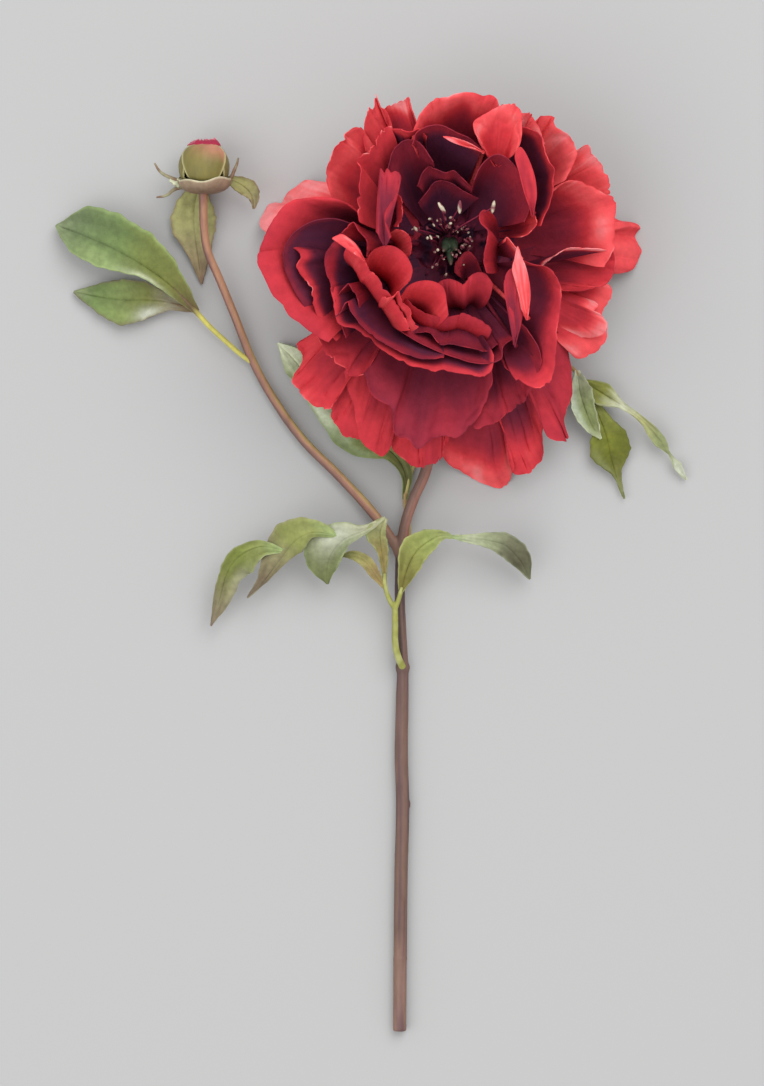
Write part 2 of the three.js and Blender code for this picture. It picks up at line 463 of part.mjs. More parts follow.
  wallTopRight: { foot: [11, 8, 5], height: 42, fall: 3, lip: [0.07, 2], arch: -2,
    rim: [[27, 46], [30, 47.7], [33.5, 46], [36.5, 44], [38.5, 40], [40.6, 35], [42.8, 31], [42, 26.5],
      [41.2, 22], [40, 16], [37, 8]] },
  topFlap: { foot: [8, 11, 6], height: 47, fall: 2, bulge: [1, 2], lip: [0.12, 6], arch: 18,
    rim: [[11.5, 36], [10, 43], [9.4, 48.5], [12, 52.5], [17, 55], [23, 56], [28.5, 54], [29.5, 48],
      [29, 43], [27.6, 37]] },
  upLeftOuter: { foot: [-12, 3, 6], height: 42, fall: 3, lip: [0.14, 3],
    rim: [[-36, 10], [-36.5, 17], [-35.5, 24], [-35, 31], [-36.4, 35], [-33, 38.7], [-31, 40.6],
      [-29, 43.6], [-26, 47], [-22.5, 48]] },
  upLeftArc: { foot: [-8, 9, 6], height: 38, fall: 3, lip: [0.07, 2], arch: -2,
    rim: [[-28, 38], [-26.8, 43], [-24.7, 46.6], [-20, 46.9], [-16, 45.9], [-12, 47], [-9, 44]] },
  upLeftStrip: { foot: [-22, 9, 8], height: 45, fall: 2, bulge: [-7, 0], lip: [0.06, 1],
    rim: [[-28.5, 33], [-25.5, 31.6], [-24.6, 26], [-25.6, 19], [-26.4, 13], [-25.2, 8], [-24, 3.5],
      [-25.5, 0.5]] },
};

// The place in space of what looks to be at x, y from the bloom's centre, at that height over it.
function inSpace(x, y, height) {
  const spot = new THREE.Vector3(x, y, height).add(BLOOM_CENTRE);
  const nearer = (VIEWPOINT.z - spot.z) / VIEW_DISTANCE;
  return new THREE.Vector3(
    VIEWPOINT.x + (spot.x - VIEWPOINT.x) * nearer, VIEWPOINT.y + (spot.y - VIEWPOINT.y) * nearer, spot.z);
}

// The surface of a petal that leaves its foot, cups and rolls over at its rim.
function rimSurface({ foot, height, fall = 0, bulge = [0, 0], lip: [lipBack, lipRise], arch = 0, rim }) {
  const last = rim.length - 1;
  const edge = rim.map(([x, y], k) => inSpace(x, y, height - fall * ((2 * k) / last - 1) ** 2));
  const path = new THREE.CatmullRomCurve3(edge, false, 'catmullrom', 0.5);
  const root = inSpace(...foot);
  const middle = edge.reduce((sum, point) => sum.add(point), new THREE.Vector3()).divideScalar(edge.length);
  const belly = new THREE.Vector3(...bulge, 0);
  return (u, v) => {
    const tip = path.getPoint((u + 1) / 2);
    const start = tip.clone().sub(middle).multiplyScalar(FOOT_SPREAD).add(root).setZ(root.z);
    const rise = tip.z - start.z;
    const hollow = start.clone().lerp(tip, 0.55).add(belly).setZ(start.z + 0.12 * rise + arch);
    const crest = start.clone().lerp(tip, 1 - lipBack).add(belly).setZ(start.z + 0.72 * rise + lipRise);
    return new THREE.CubicBezierCurve3(start, hollow, crest, tip).getPoint(v);
  };
}

const FACE_WIDTH = 13;                    // a petal has one column of faces for each such stretch of rim
const FACE_COLUMNS = [3, 7];              // the fewest and the most
const FACE_ROWS = 3;

function bloomPetal(form) {
  const surface = rimSurface(form);
  const length = form.rim.slice(1).reduce(
    (sum, [x, y], k) => sum + Math.hypot(x - form.rim[k][0], y - form.rim[k][1]), 0);
  const columns = THREE.MathUtils.clamp(Math.round(length / FACE_WIDTH), ...FACE_COLUMNS);
  const grown = (u, v) => surface(u, PETAL_START + (1 - PETAL_START) * v);
  return blade(grown, [columns, FACE_ROWS], PETAL_THICKNESS);
}

function bloomPetals() {
  const core = turned(CORE_PROFILE, 12).translate(...BLOOM_CENTRE);
  return largest(restOnSurface(join([core, ...Object.values(PETALS).map(bloomPetal)])));
}

// Five green sepals under the bloom, on a ring round its neck.
const SEPAL_RING = [[2.4, -6], [5.4, -5.4], [5.8, -3], [2.4, -2.6], [2.4, -6]];
const SEPAL_SPINE = [[4, -4.4], [11, -4], [20, -2], [28, -2.4]];
const SEPAL_COUNT = 5;

function bloomSepals() {
  const sepals = Array.from({ length: SEPAL_COUNT }, (_, k) => cuppedPetal({
    azimuth: 36 + (k * 360) / SEPAL_COUNT, spine: SEPAL_SPINE, width: 17, cup: 34, ruffle: 0.5, seed: 50 + k,
  }, [2, 3]));
  return join([turned(SEPAL_RING, 12), ...sepals]).translate(...BLOOM_CENTRE);
}

// Stamens and carpels both stand on the bloom's core. These place a point on it.
const onCore = (angle, radius, height) => [
  radius * Math.cos(angle), radius * Math.sin(angle), CORE_TOP + GAP + height];
const onCoreProfile = (profile) => profile.map(([radius, height]) => [radius, CORE_TOP + GAP + height]);

// Stamens round the carpels, on a ring. The threads lean outwards.
const STAMEN_COUNT = 10;
const STAMEN_RING = [[4, 0], [6.4, 0], [6.2, 1.2], [4, 1.2], [4, 0]];

function stamens() {
  const threads = Array.from({ length: STAMEN_COUNT }, (_, k) => {
    const angle = (k / STAMEN_COUNT) * 2 * Math.PI + chance(k) * 0.25;
    const lean = 3 + 5 * chance(k + 40);
    const height = 11 + 7 * chance(k + 80);
    const thread = [[5.2, 0.5], [5.6 + lean * 0.3, height * 0.5], [5.4 + lean, height]];
    return tube(thread.map(([radius, z]) => onCore(angle, radius, z)), [0.5, 0.4], 2, 4)
      .add(knob(onCore(angle, 5.4 + lean, height + 0.6), [0.8, 0.8, 1.8], 5, 3));
  });
  return join([turned(onCoreProfile(STAMEN_RING), 16), ...threads]).translate(...BLOOM_CENTRE);
}

// Three pointed carpels on a disc in the very middle.
const CARPEL_COUNT = 3;
const CARPEL_DISC = [[0, 0], [3.4, 0], [3.2, 1.4], [0, 1.4]];
const CARPEL_ROUTE = [[1.6, 0.5], [2, 4], [2.4, 9], [3.2, 12.5]];

function carpels() {
  const flasks = Array.from({ length: CARPEL_COUNT }, (_, k) => {
    const angle = 0.6 + (k * 2 * Math.PI) / CARPEL_COUNT;
    return tube(CARPEL_ROUTE.map(([radius, z]) => onCore(angle, radius, z)), [1.1, 1.75, 1.2, 0.4], 5, 6);
  });
  return join([turned(onCoreProfile(CARPEL_DISC), 12), ...flasks]).translate(...BLOOM_CENTRE);
}

// The bud ----------------------------------------------------------------------------------------

// The bud's own axis runs along +Y, so that its petals close towards the top of the model.
const turnToBud = (solid) => solid.rotate([-90, 0, 0]).translate(...BUD_CENTRE);

const BUD_SHELLS = [[-90, 10.3], [8, 9.8], [172, 9.9], [90, 10.2]];   // azimuth and radius of each petal

function budPetals() {
  const shells = BUD_SHELLS.map(([azimuth, size], k) => turnToBud(cuppedPetal({
    azimuth,
    spine: [[2, -7.4], [size * 0.85, -size * 0.56], [size, size * 0.12], [size * 0.72, size * 0.74],
      [2.2, size * 0.98]],
    width: 20, cup: 108, ruffle: 0.2, seed: 61 + k,
  }, [4, 4])));
  const ball = turnToBud(knob([0, 0, 0], [BUD_RADIUS, BUD_RADIUS, BUD_RADIUS], 12, 7));
  return largest(join([ball, ...shells]));
}

// The calyx: a cup under the bud, broad bracts and curled strands. The cup and the room inside it for
// the petals are given as radii and heights along the bud's axis.
const CALYX_PROFILE = [[0, -10.7], [3.5, -10.5], [8, -9.5], [10.9, -7.2], [11.1, -4.8], [0, -4.8]];
const PETAL_ROOM = [[0, -8.7], [4, -8.7], [7.4, -8.1], [10.1, -6.7], [10.5, -4], [11.6, -2.4], [11.6, 6],
  [0, 6]];
const BRACTS = [
  { // the long bract that hangs back under the branch
    spine: [[-68.6, 151, 6.4], [-70.4, 143, 4.4], [-70.6, 135, 3], [-69.4, 125, 2], [-67.6, 112, 1.2]],
    left: [3, 8, 8.8, 5.6, 0.3], right: [3, 7.6, 9.2, 4.4, 0.3], fold: 4, wave: 0.3, seed: 31,
  },
  { // the broad one on the right
    spine: [[-59.5, 152.6, 12.6], [-54.3, 152.6, 12.4], [-49.4, 149.6, 11.4], [-47, 146, 10.6],
      [-46.4, 141.6, 10]],
    left: [1, 2, 3.8, 2.6, 0.3], right: [1, 2.4, 2.8, 1.4, 0.3], fold: 12, wave: 0.3, seed: 33,
  },
  { // the short one on the left
    spine: [[-72.5, 151, 14], [-76, 151.8, 14.6], [-80, 153, 14.8]],
    left: [1.6, 2.2, 0.6], right: [1.6, 1.8, 0.6], fold: 10, wave: 0.2, seed: 35,
  },
];
const STRANDS = [
  [[-74, 152, 14], [-79, 153.6, 14.6], [-83.5, 156, 15], [-86, 159.6, 15.4]],
  [[-73, 150.6, 12], [-78, 149.4, 11.6], [-81.4, 147, 11], [-85.4, 146.2, 10.6]],
  [[-58, 152.2, 14], [-56, 153.2, 14.8], [-54, 157, 15.6], [-53, 159.5, 16], [-52.5, 161.6, 16.4]],
];

function budSepals() {
  const whole = join([turnToBud(turned(CALYX_PROFILE, 16)), ...BRACTS.map((form) => leaflet(form, [4, 4])),
    ...STRANDS.map((points) => tube(points, [0.8, 0.45], 4, 4))]);
  return whole.subtract(turnToBud(turned(PETAL_ROOM, 16)));
}

// The scene --------------------------------------------------------------------------------------

const peony = new THREE.Group();

function addPiece(name, solid, color, roughness) {
  const material = new THREE.MeshStandardMaterial({ color, roughness, metalness: 0 });
  const mesh = new THREE.Mesh(toGeometry(solid), material);
  mesh.name = name;
  peony.add(mesh);
}

const clearOfStem = (solid) => largest(solid.subtract(stemClearance));

addPiece('stem', restOnSurface(stemSolid()), 0x8c6a5a, 0.55);
addPiece('bloom_petals', bloomPetals(), 0xb81c28, 0.7);
addPiece('bloom_sepals', clearOfStem(bloomSepals()), 0x6b7f3a, 0.6);
addPiece('stamens', stamens(), 0xd8c98a, 0.6);
addPiece('carpels', carpels(), 0x3c4a34, 0.6);
addPiece('bud_petals', budPetals(), 0x8f8a45, 0.6);
addPiece('bud_sepals', clearOfStem(budSepals()), 0x8a8f55, 0.6);
addPiece('leaf_bud_branch', clearOfStem(budBranchLeaf()), 0x5f7a3e, 0.55);
addPiece('leaf_lower', clearOfStem(lowerLeaf()), 0x74864a, 0.55);
addPiece('leaf_upper', clearOfStem(upperLeaf()), 0x6c7c40, 0.55);

export default peony;
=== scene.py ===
# A cut peony of dyed cloth on a coated wire stem, laid on a pale surface and seen from straight above.
import math

import bpy
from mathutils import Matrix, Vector, noise


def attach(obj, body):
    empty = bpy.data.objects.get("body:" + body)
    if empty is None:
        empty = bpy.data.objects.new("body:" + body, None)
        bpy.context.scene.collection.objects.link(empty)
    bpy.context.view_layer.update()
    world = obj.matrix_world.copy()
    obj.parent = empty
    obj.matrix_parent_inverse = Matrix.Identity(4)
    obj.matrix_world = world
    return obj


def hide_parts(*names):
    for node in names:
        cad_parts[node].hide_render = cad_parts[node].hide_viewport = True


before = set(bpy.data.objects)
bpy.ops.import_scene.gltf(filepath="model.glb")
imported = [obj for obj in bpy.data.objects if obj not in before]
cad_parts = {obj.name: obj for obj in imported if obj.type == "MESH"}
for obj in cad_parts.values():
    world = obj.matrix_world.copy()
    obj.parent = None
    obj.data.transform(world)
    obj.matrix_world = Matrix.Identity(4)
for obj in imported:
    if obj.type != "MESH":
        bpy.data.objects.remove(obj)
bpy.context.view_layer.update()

# Stem and its two branches -----------------------------------------------------------------------
# Wire in a soft plastic skin, mauve brown with tan streaks; its lighter +x side is a painted highlight from
# the key lamp. The branches to the bloom and to the bud are bound on at the fork and dipped with it, so
# that the skin runs over the joint without a seam.
MM = 0.001    # places and sizes are millimetres, and become metres where a mesh is made
STEM_RADIUS = 2.75
UPPER_RADIUS = 2.15
BLOOM_BRANCH_RADIUS = 2.3
BUD_BRANCH_RADIUS = 1.75
MAIN_ROUTE = [
    (11.9, -188, 2.75), (12.1, -158.8, 2.75), (12.5, -122.8, 2.75), (13.1, -96.8, 2.75),
    (12.6, -78.8, 2.75), (12.9, -54.8, 2.9), (13.1, -42, 3.4), (12.7, -30.8, 4), (12, -14.8, 4.8),
    (12.3, 6, 5.8)]
BLOOM_ROUTE = [
    (12.3, 2, 5.6), (14, 15.2, 6.3), (17.3, 25.2, 7), (22.4, 37.2, 7.6), (25.8, 58, 8.4), (28, 80, 9),
    (30.4, 103, 9.6), (31.4, 117.6, 11.5), (31.6, 125.8, 17), (31.6, 126.6, 23)]
BUD_ROUTE = [
    (12.2, 4, 5.6), (2.8, 17.9, 5), (-12.4, 34.8, 4.2), (-26.5, 48.9, 3.6), (-38.2, 65, 3.4),
    (-47.1, 81.1, 3.8), (-54.3, 99.1, 4.8), (-60.6, 114.4, 6.6), (-65.1, 125.2, 8.6), (-66.4, 135.2, 11),
    (-66.6, 148.8, 13.4)]
STEM_SWELLINGS = {    # where each one stands, and its half sizes
    "leaf_node": ((13.1, -42, 3.5), (3, 3.4, 2.8)),
    "fork": ((12, 5, 5.6), (2.9, 3.6, 2.6)),
    "bud_scar": ((15.2, -96.8, 3.2), (1.3, 1.8, 1.2)),
    "skin_ridge": ((12.1, -158.8, 2.9), (2.95, 0.7, 2.85))}
# Stretches along y over which the skin's colour changes.
FORK_Y = 2
DARK_STRETCH = (-52, -34)
PALE_FOOT_STRETCH = (-145, -165)
TAN_STRETCH = (4, 22)
# where the bud branch's painted highlight, a straw streak on its +x side, comes and goes along y
HIGHLIGHT_STARTS, HIGHLIGHT_ENDS = (14, 30), (110, 80)


def wire(name, route, radii, sides=4, steps=10):
    """A round rod on a smooth route, in millimetres, whose radius runs evenly through the radii."""
    bpy.ops.object.select_all(action="DESELECT")
    bpy.ops.curve.primitive_bezier_curve_add()
    rod = bpy.context.object
    rod.name = name
    path = rod.data.splines[0]
    path.bezier_points.add(len(route) - len(path.bezier_points))
    for index, (knot, place) in enumerate(zip(path.bezier_points, route)):
        at = index / (len(route) - 1) * (len(radii) - 1)
        low = min(int(at), len(radii) - 2)
        knot.co = Vector(place) * MM
        knot.radius = radii[low] + (radii[low + 1] - radii[low]) * (at - low)
        knot.handle_left_type = knot.handle_right_type = "AUTO"
    rod.data.dimensions = "3D"
    rod.data.bevel_depth = MM
    rod.data.bevel_resolution = sides
    rod.data.resolution_u = steps
    rod.data.use_fill_caps = True
    bpy.ops.object.convert(target="MESH")
    return bpy.context.object


def swelling(place, radii):
    """An egg-shaped body, such as a swelling on the stem."""
    bpy.ops.object.select_all(action="DESELECT")
    bpy.ops.mesh.primitive_uv_sphere_add(
        segments=20, ring_count=12, radius=1, location=Vector(place) * MM, scale=Vector(radii) * MM)
    return bpy.context.object


def joined(name, pieces):
    """The pieces as one object at the origin."""
    bpy.ops.object.select_all(action="DESELECT")
    for piece in pieces:
        piece.select_set(True)
    bpy.context.view_layer.objects.active = pieces[0]
    bpy.ops.object.join()
    whole = bpy.context.object
    whole.name = whole.data.name = name
    bpy.ops.object.transform_apply(location=True, rotation=True, scale=True)
    return whole


def fused(piece, grain):
    """Melts a piece's overlapping bodies into one skin and rounds its joints."""
    bpy.ops.object.select_all(action="DESELECT")
    piece.select_set(True)
    bpy.context.view_layer.objects.active = piece
    bpy.ops.object.modifier_add(type="REMESH")
    piece.modifiers["Remesh"].mode = "VOXEL"
    piece.modifiers["Remesh"].voxel_size = grain * MM
    bpy.ops.object.modifier_apply(modifier="Remesh")
    bpy.ops.object.modifier_add(type="SMOOTH")
    piece.modifiers["Smooth"].iterations = 6
    bpy.ops.object.modifier_apply(modifier="Smooth")
    bpy.ops.object.shade_smooth()
    return piece


def mix(first, second, share):
    """A colour at a share of the way from the first to the second."""
    return tuple(a + (b - a) * share for a, b in zip(first, second))


def ease(start, end, value):
    """A share that grows smoothly from 0 to 1 while the value goes from start to end."""
    share = min(max((value - start) / (end - start), 0), 1)
    return share * share * (3 - 2 * share)


def dyed(piece, colour_at):
    """Lays a colour on each point of a piece, which its material reads."""
    dye = piece.data.color_attributes.new("dye", "FLOAT_COLOR", "POINT")
    for vertex, spot in zip(piece.data.vertices, dye.data):
        spot.color = (*colour_at(vertex.co / MM), 1)


def finish_from_dye(name, roughness, streaks, streak_strength, bump, grain, sheen=0.0, specular=0.35):
    """A material that takes its colour from the dye, streaked and roughened by noise on the object."""
    material = bpy.data.materials.new(name)
    material.use_nodes = True
    nodes, links = material.node_tree.nodes, material.node_tree.links
    shader = nodes["Principled BSDF"]
    shader.inputs["Roughness"].default_value = roughness
    shader.inputs["Specular IOR Level"].default_value = specular
    shader.inputs["Sheen Weight"].default_value = sheen
    shader.inputs["Sheen Roughness"].default_value = 0.4
    dye = nodes.new("ShaderNodeAttribute")
    dye.attribute_name = "dye"
    place = nodes.new("ShaderNodeTexCoord")
    stretch = nodes.new("ShaderNodeMapping")
    stretch.inputs["Scale"].default_value = streaks
    links.new(place.outputs["Object"], stretch.inputs["Vector"])
    streak = nodes.new("ShaderNodeTexNoise")
    streak.inputs["Scale"].default_value = 1
    streak.inputs["Detail"].default_value = 5
    streak.inputs["Roughness"].default_value = 0.6
    links.new(stretch.outputs["Vector"], streak.inputs["Vector"])
    shade = nodes.new("ShaderNodeMapRange")
    shade.inputs["From Min"].default_value = 0.3
    shade.inputs["From Max"].default_value = 0.7
    shade.inputs["To Min"].default_value = 1 - streak_strength
    shade.inputs["To Max"].default_value = 1 + streak_strength
    links.new(streak.outputs["Fac"], shade.inputs["Value"])
    tone = nodes.new("ShaderNodeVectorMath")
    tone.operation = "SCALE"
    links.new(dye.outputs["Color"], tone.inputs[0])
    links.new(shade.outputs["Result"], tone.inputs["Scale"])
    links.new(tone.outputs["Vector"], shader.inputs["Base Color"])
    fine = nodes.new("ShaderNodeTexNoise")
    fine.inputs["Scale"].default_value = grain
    fine.inputs["Detail"].default_value = 4
    links.new(place.outputs["Object"], fine.inputs["Vector"])
    relief = nodes.new("ShaderNodeBump")
    relief.inputs["Strength"].default_value = bump
    relief.inputs["Distance"].default_value = 0.3 * MM
    links.new(fine.outputs["Fac"], relief.inputs["Height"])
    links.new(relief.outputs["Normal"], shader.inputs["Normal"])
    return material


def settle(piece, node, material):
    """Gives a piece its finish and puts it in place of the plain solid."""
    piece.data.materials.clear()
    piece.data.materials.append(material)
    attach(piece, "root")
    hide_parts(node)


MAUVE = (0.12, 0.062, 0.064)
DARK_BROWN = (0.085, 0.052, 0.050)
BARK_BROWN = (0.185, 0.105, 0.078)
RED_BROWN = (0.27, 0.125, 0.092)
TAN = (0.39, 0.205, 0.118)
# a pale straw that is only painted highlight, on the bud branch's side towards the key lamp
STRAW_HIGHLIGHT = (0.42, 0.31, 0.12)


def middle_x(route, y):
    """Where a route that climbs in y stands in x at that y."""
    for (x, low, _), (next_x, high, _) in zip(route, route[1:]):
        if y <= high:
            break
    return x + (next_x - x) * (y - low) / (high - low)


def stem_colour(point):
    """The skin's colour: mauve on the foot, dark above the leaf node, red brown and tan above, painted
    lighter on +x.
    """
    if point.y < FORK_Y:
        across = (point.x - middle_x(MAIN_ROUTE, point.y)) / STEM_RADIUS
        streak = noise.noise(Vector((across * 2.4, point.z * 0.5, point.y * 0.035)))
        lower = mix(BARK_BROWN, MAUVE, ease(-0.1, 0.5, streak))
        # painted highlight: above the leaf node the skin gets lighter towards +x, the key lamp's side
        upper = mix(DARK_BROWN, BARK_BROWN, ease(-0.1, 0.9, across + streak))
        skin = mix(lower, upper, ease(*DARK_STRETCH, point.y))
        return tuple(c * (0.82 + 0.3 * ease(*PALE_FOOT_STRETCH, point.y)) for c in skin)
    to_bud = point.x - middle_x(BUD_ROUTE, point.y)
    to_bloom = point.x - middle_x(BLOOM_ROUTE, point.y)
    # painted highlight: the branches get lighter towards +x too, up to a straw streak on the bud branch
    across = min(to_bud, to_bloom, key=abs) / UPPER_RADIUS
    streak = noise.noise(Vector((across * 2.4, point.z * 0.5, point.y * 0.05)))
    if abs(to_bloom) < abs(to_bud):
        return mix(mix(DARK_BROWN, BARK_BROWN, 0.6), RED_BROWN, ease(-0.8, 0.6, across + streak))
    skin = mix(mix(BARK_BROWN, MAUVE, 0.4), RED_BROWN, ease(-1, -0.3, across + 0.5 * streak))
    skin = mix(skin, TAN, ease(-0.5, 0.4, across + streak))
    straw_highlight = ease(0.2, 0.9, across + streak) * ease(*HIGHLIGHT_STARTS, point.y) * ease(*HIGHLIGHT_ENDS, point.y)
    return mix(mix(BARK_BROWN, skin, ease(*TAN_STRETCH, point.y)), STRAW_HIGHLIGHT, straw_highlight)


stem = joined("stem_skin", [
    wire("main_stem", MAIN_ROUTE, [STEM_RADIUS] * 3 + [UPPER_RADIUS] * 2, sides=6),
    wire("bloom_branch", BLOOM_ROUTE, [UPPER_RADIUS, BLOOM_BRANCH_RADIUS, BLOOM_BRANCH_RADIUS], sides=6),
    wire("bud_branch", BUD_ROUTE, [UPPER_RADIUS, BUD_BRANCH_RADIUS, BUD_BRANCH_RADIUS], sides=6),
    *[swelling(place, radii) for place, radii in STEM_SWELLINGS.values()]])
fused(stem, grain=0.55)
dyed(stem, stem_colour)
settle(stem, "stem", finish_from_dye(
    "stem_skin_finish", roughness=0.5, streaks=(350, 120, 350), streak_strength=0.14, bump=0.3, grain=500))

# Petals of the bloom -----------------------------------------------------------------------------
# Sheets of cloth dyed from burgundy at the base to bright red at the lip, pressed hot into cups and
# folds and glued by the foot, layer on layer, round a core. The dark base is partly painted shade deep in
# the cup, and the bright lip partly painted light. Their cut edges fray to a paler pink, which is partly a
# painted highlight.
BLOOM_CENTRE = Vector((31.6, 126.6, 26))
CLOTH_THICKNESS = 0.35
CLAW_HEIGHT = 30         # small petals that start higher than this stand on a claw twisted to a cord
CLAW_DROP = 16           # a claw goes straight down this far, and then slants in to its foot
CLAW_FOOT_HEIGHT = 8
CLAW_RADII = [0.7, 0.9]
FOOT_SPREAD = 0.12       # the width of a petal's foot, as a share of its rim's
HOLLOW_SHARE, HOLLOW_RISE = 0.55, 0.12    # where its belly is hollow: shares of its reach and its rise
CREST_RISE = 0.72        # how high it is where its lip starts to roll, as a share of its rise
NICK_COUNT, NICK_REACH = 7, 0.05    # nicks in its edge, and how far one reaches along it to each side
WAVE_DEPTH, CRUMPLE_DEPTH, FLUTE_DEPTH = 1.5, 0.3, 0.3    # broad waves, small dents, and flutes at its lip
FOLD_DEPTH, FOLD_WIDTH = 0.8, 0.14
SURFACE_EASE = 1.5       # how far above the surface a drooping petal starts to flatten out
EYE = Vector((4.8, 8, 2210))    # where the picture was taken from
EYE_TO_STEM = 2200              # from there down to the height that the places in plan are true for
# painted shade: the dark, bluish low steps stand partly for the cup's shade, the pink top for highlight
DYE_AND_SHADE_STEPS = [    # the dye at each depth of red
    (0.0, (0.05, 0.016, 0.040)), (0.2, (0.11, 0.018, 0.040)), (0.4, (0.21, 0.020, 0.038)),
    (0.6, (0.36, 0.026, 0.042)), (0.8, (0.58, 0.040, 0.052)), (0.92, (0.77, 0.090, 0.097)),
    (1.0, (0.80, 0.24, 0.25))]
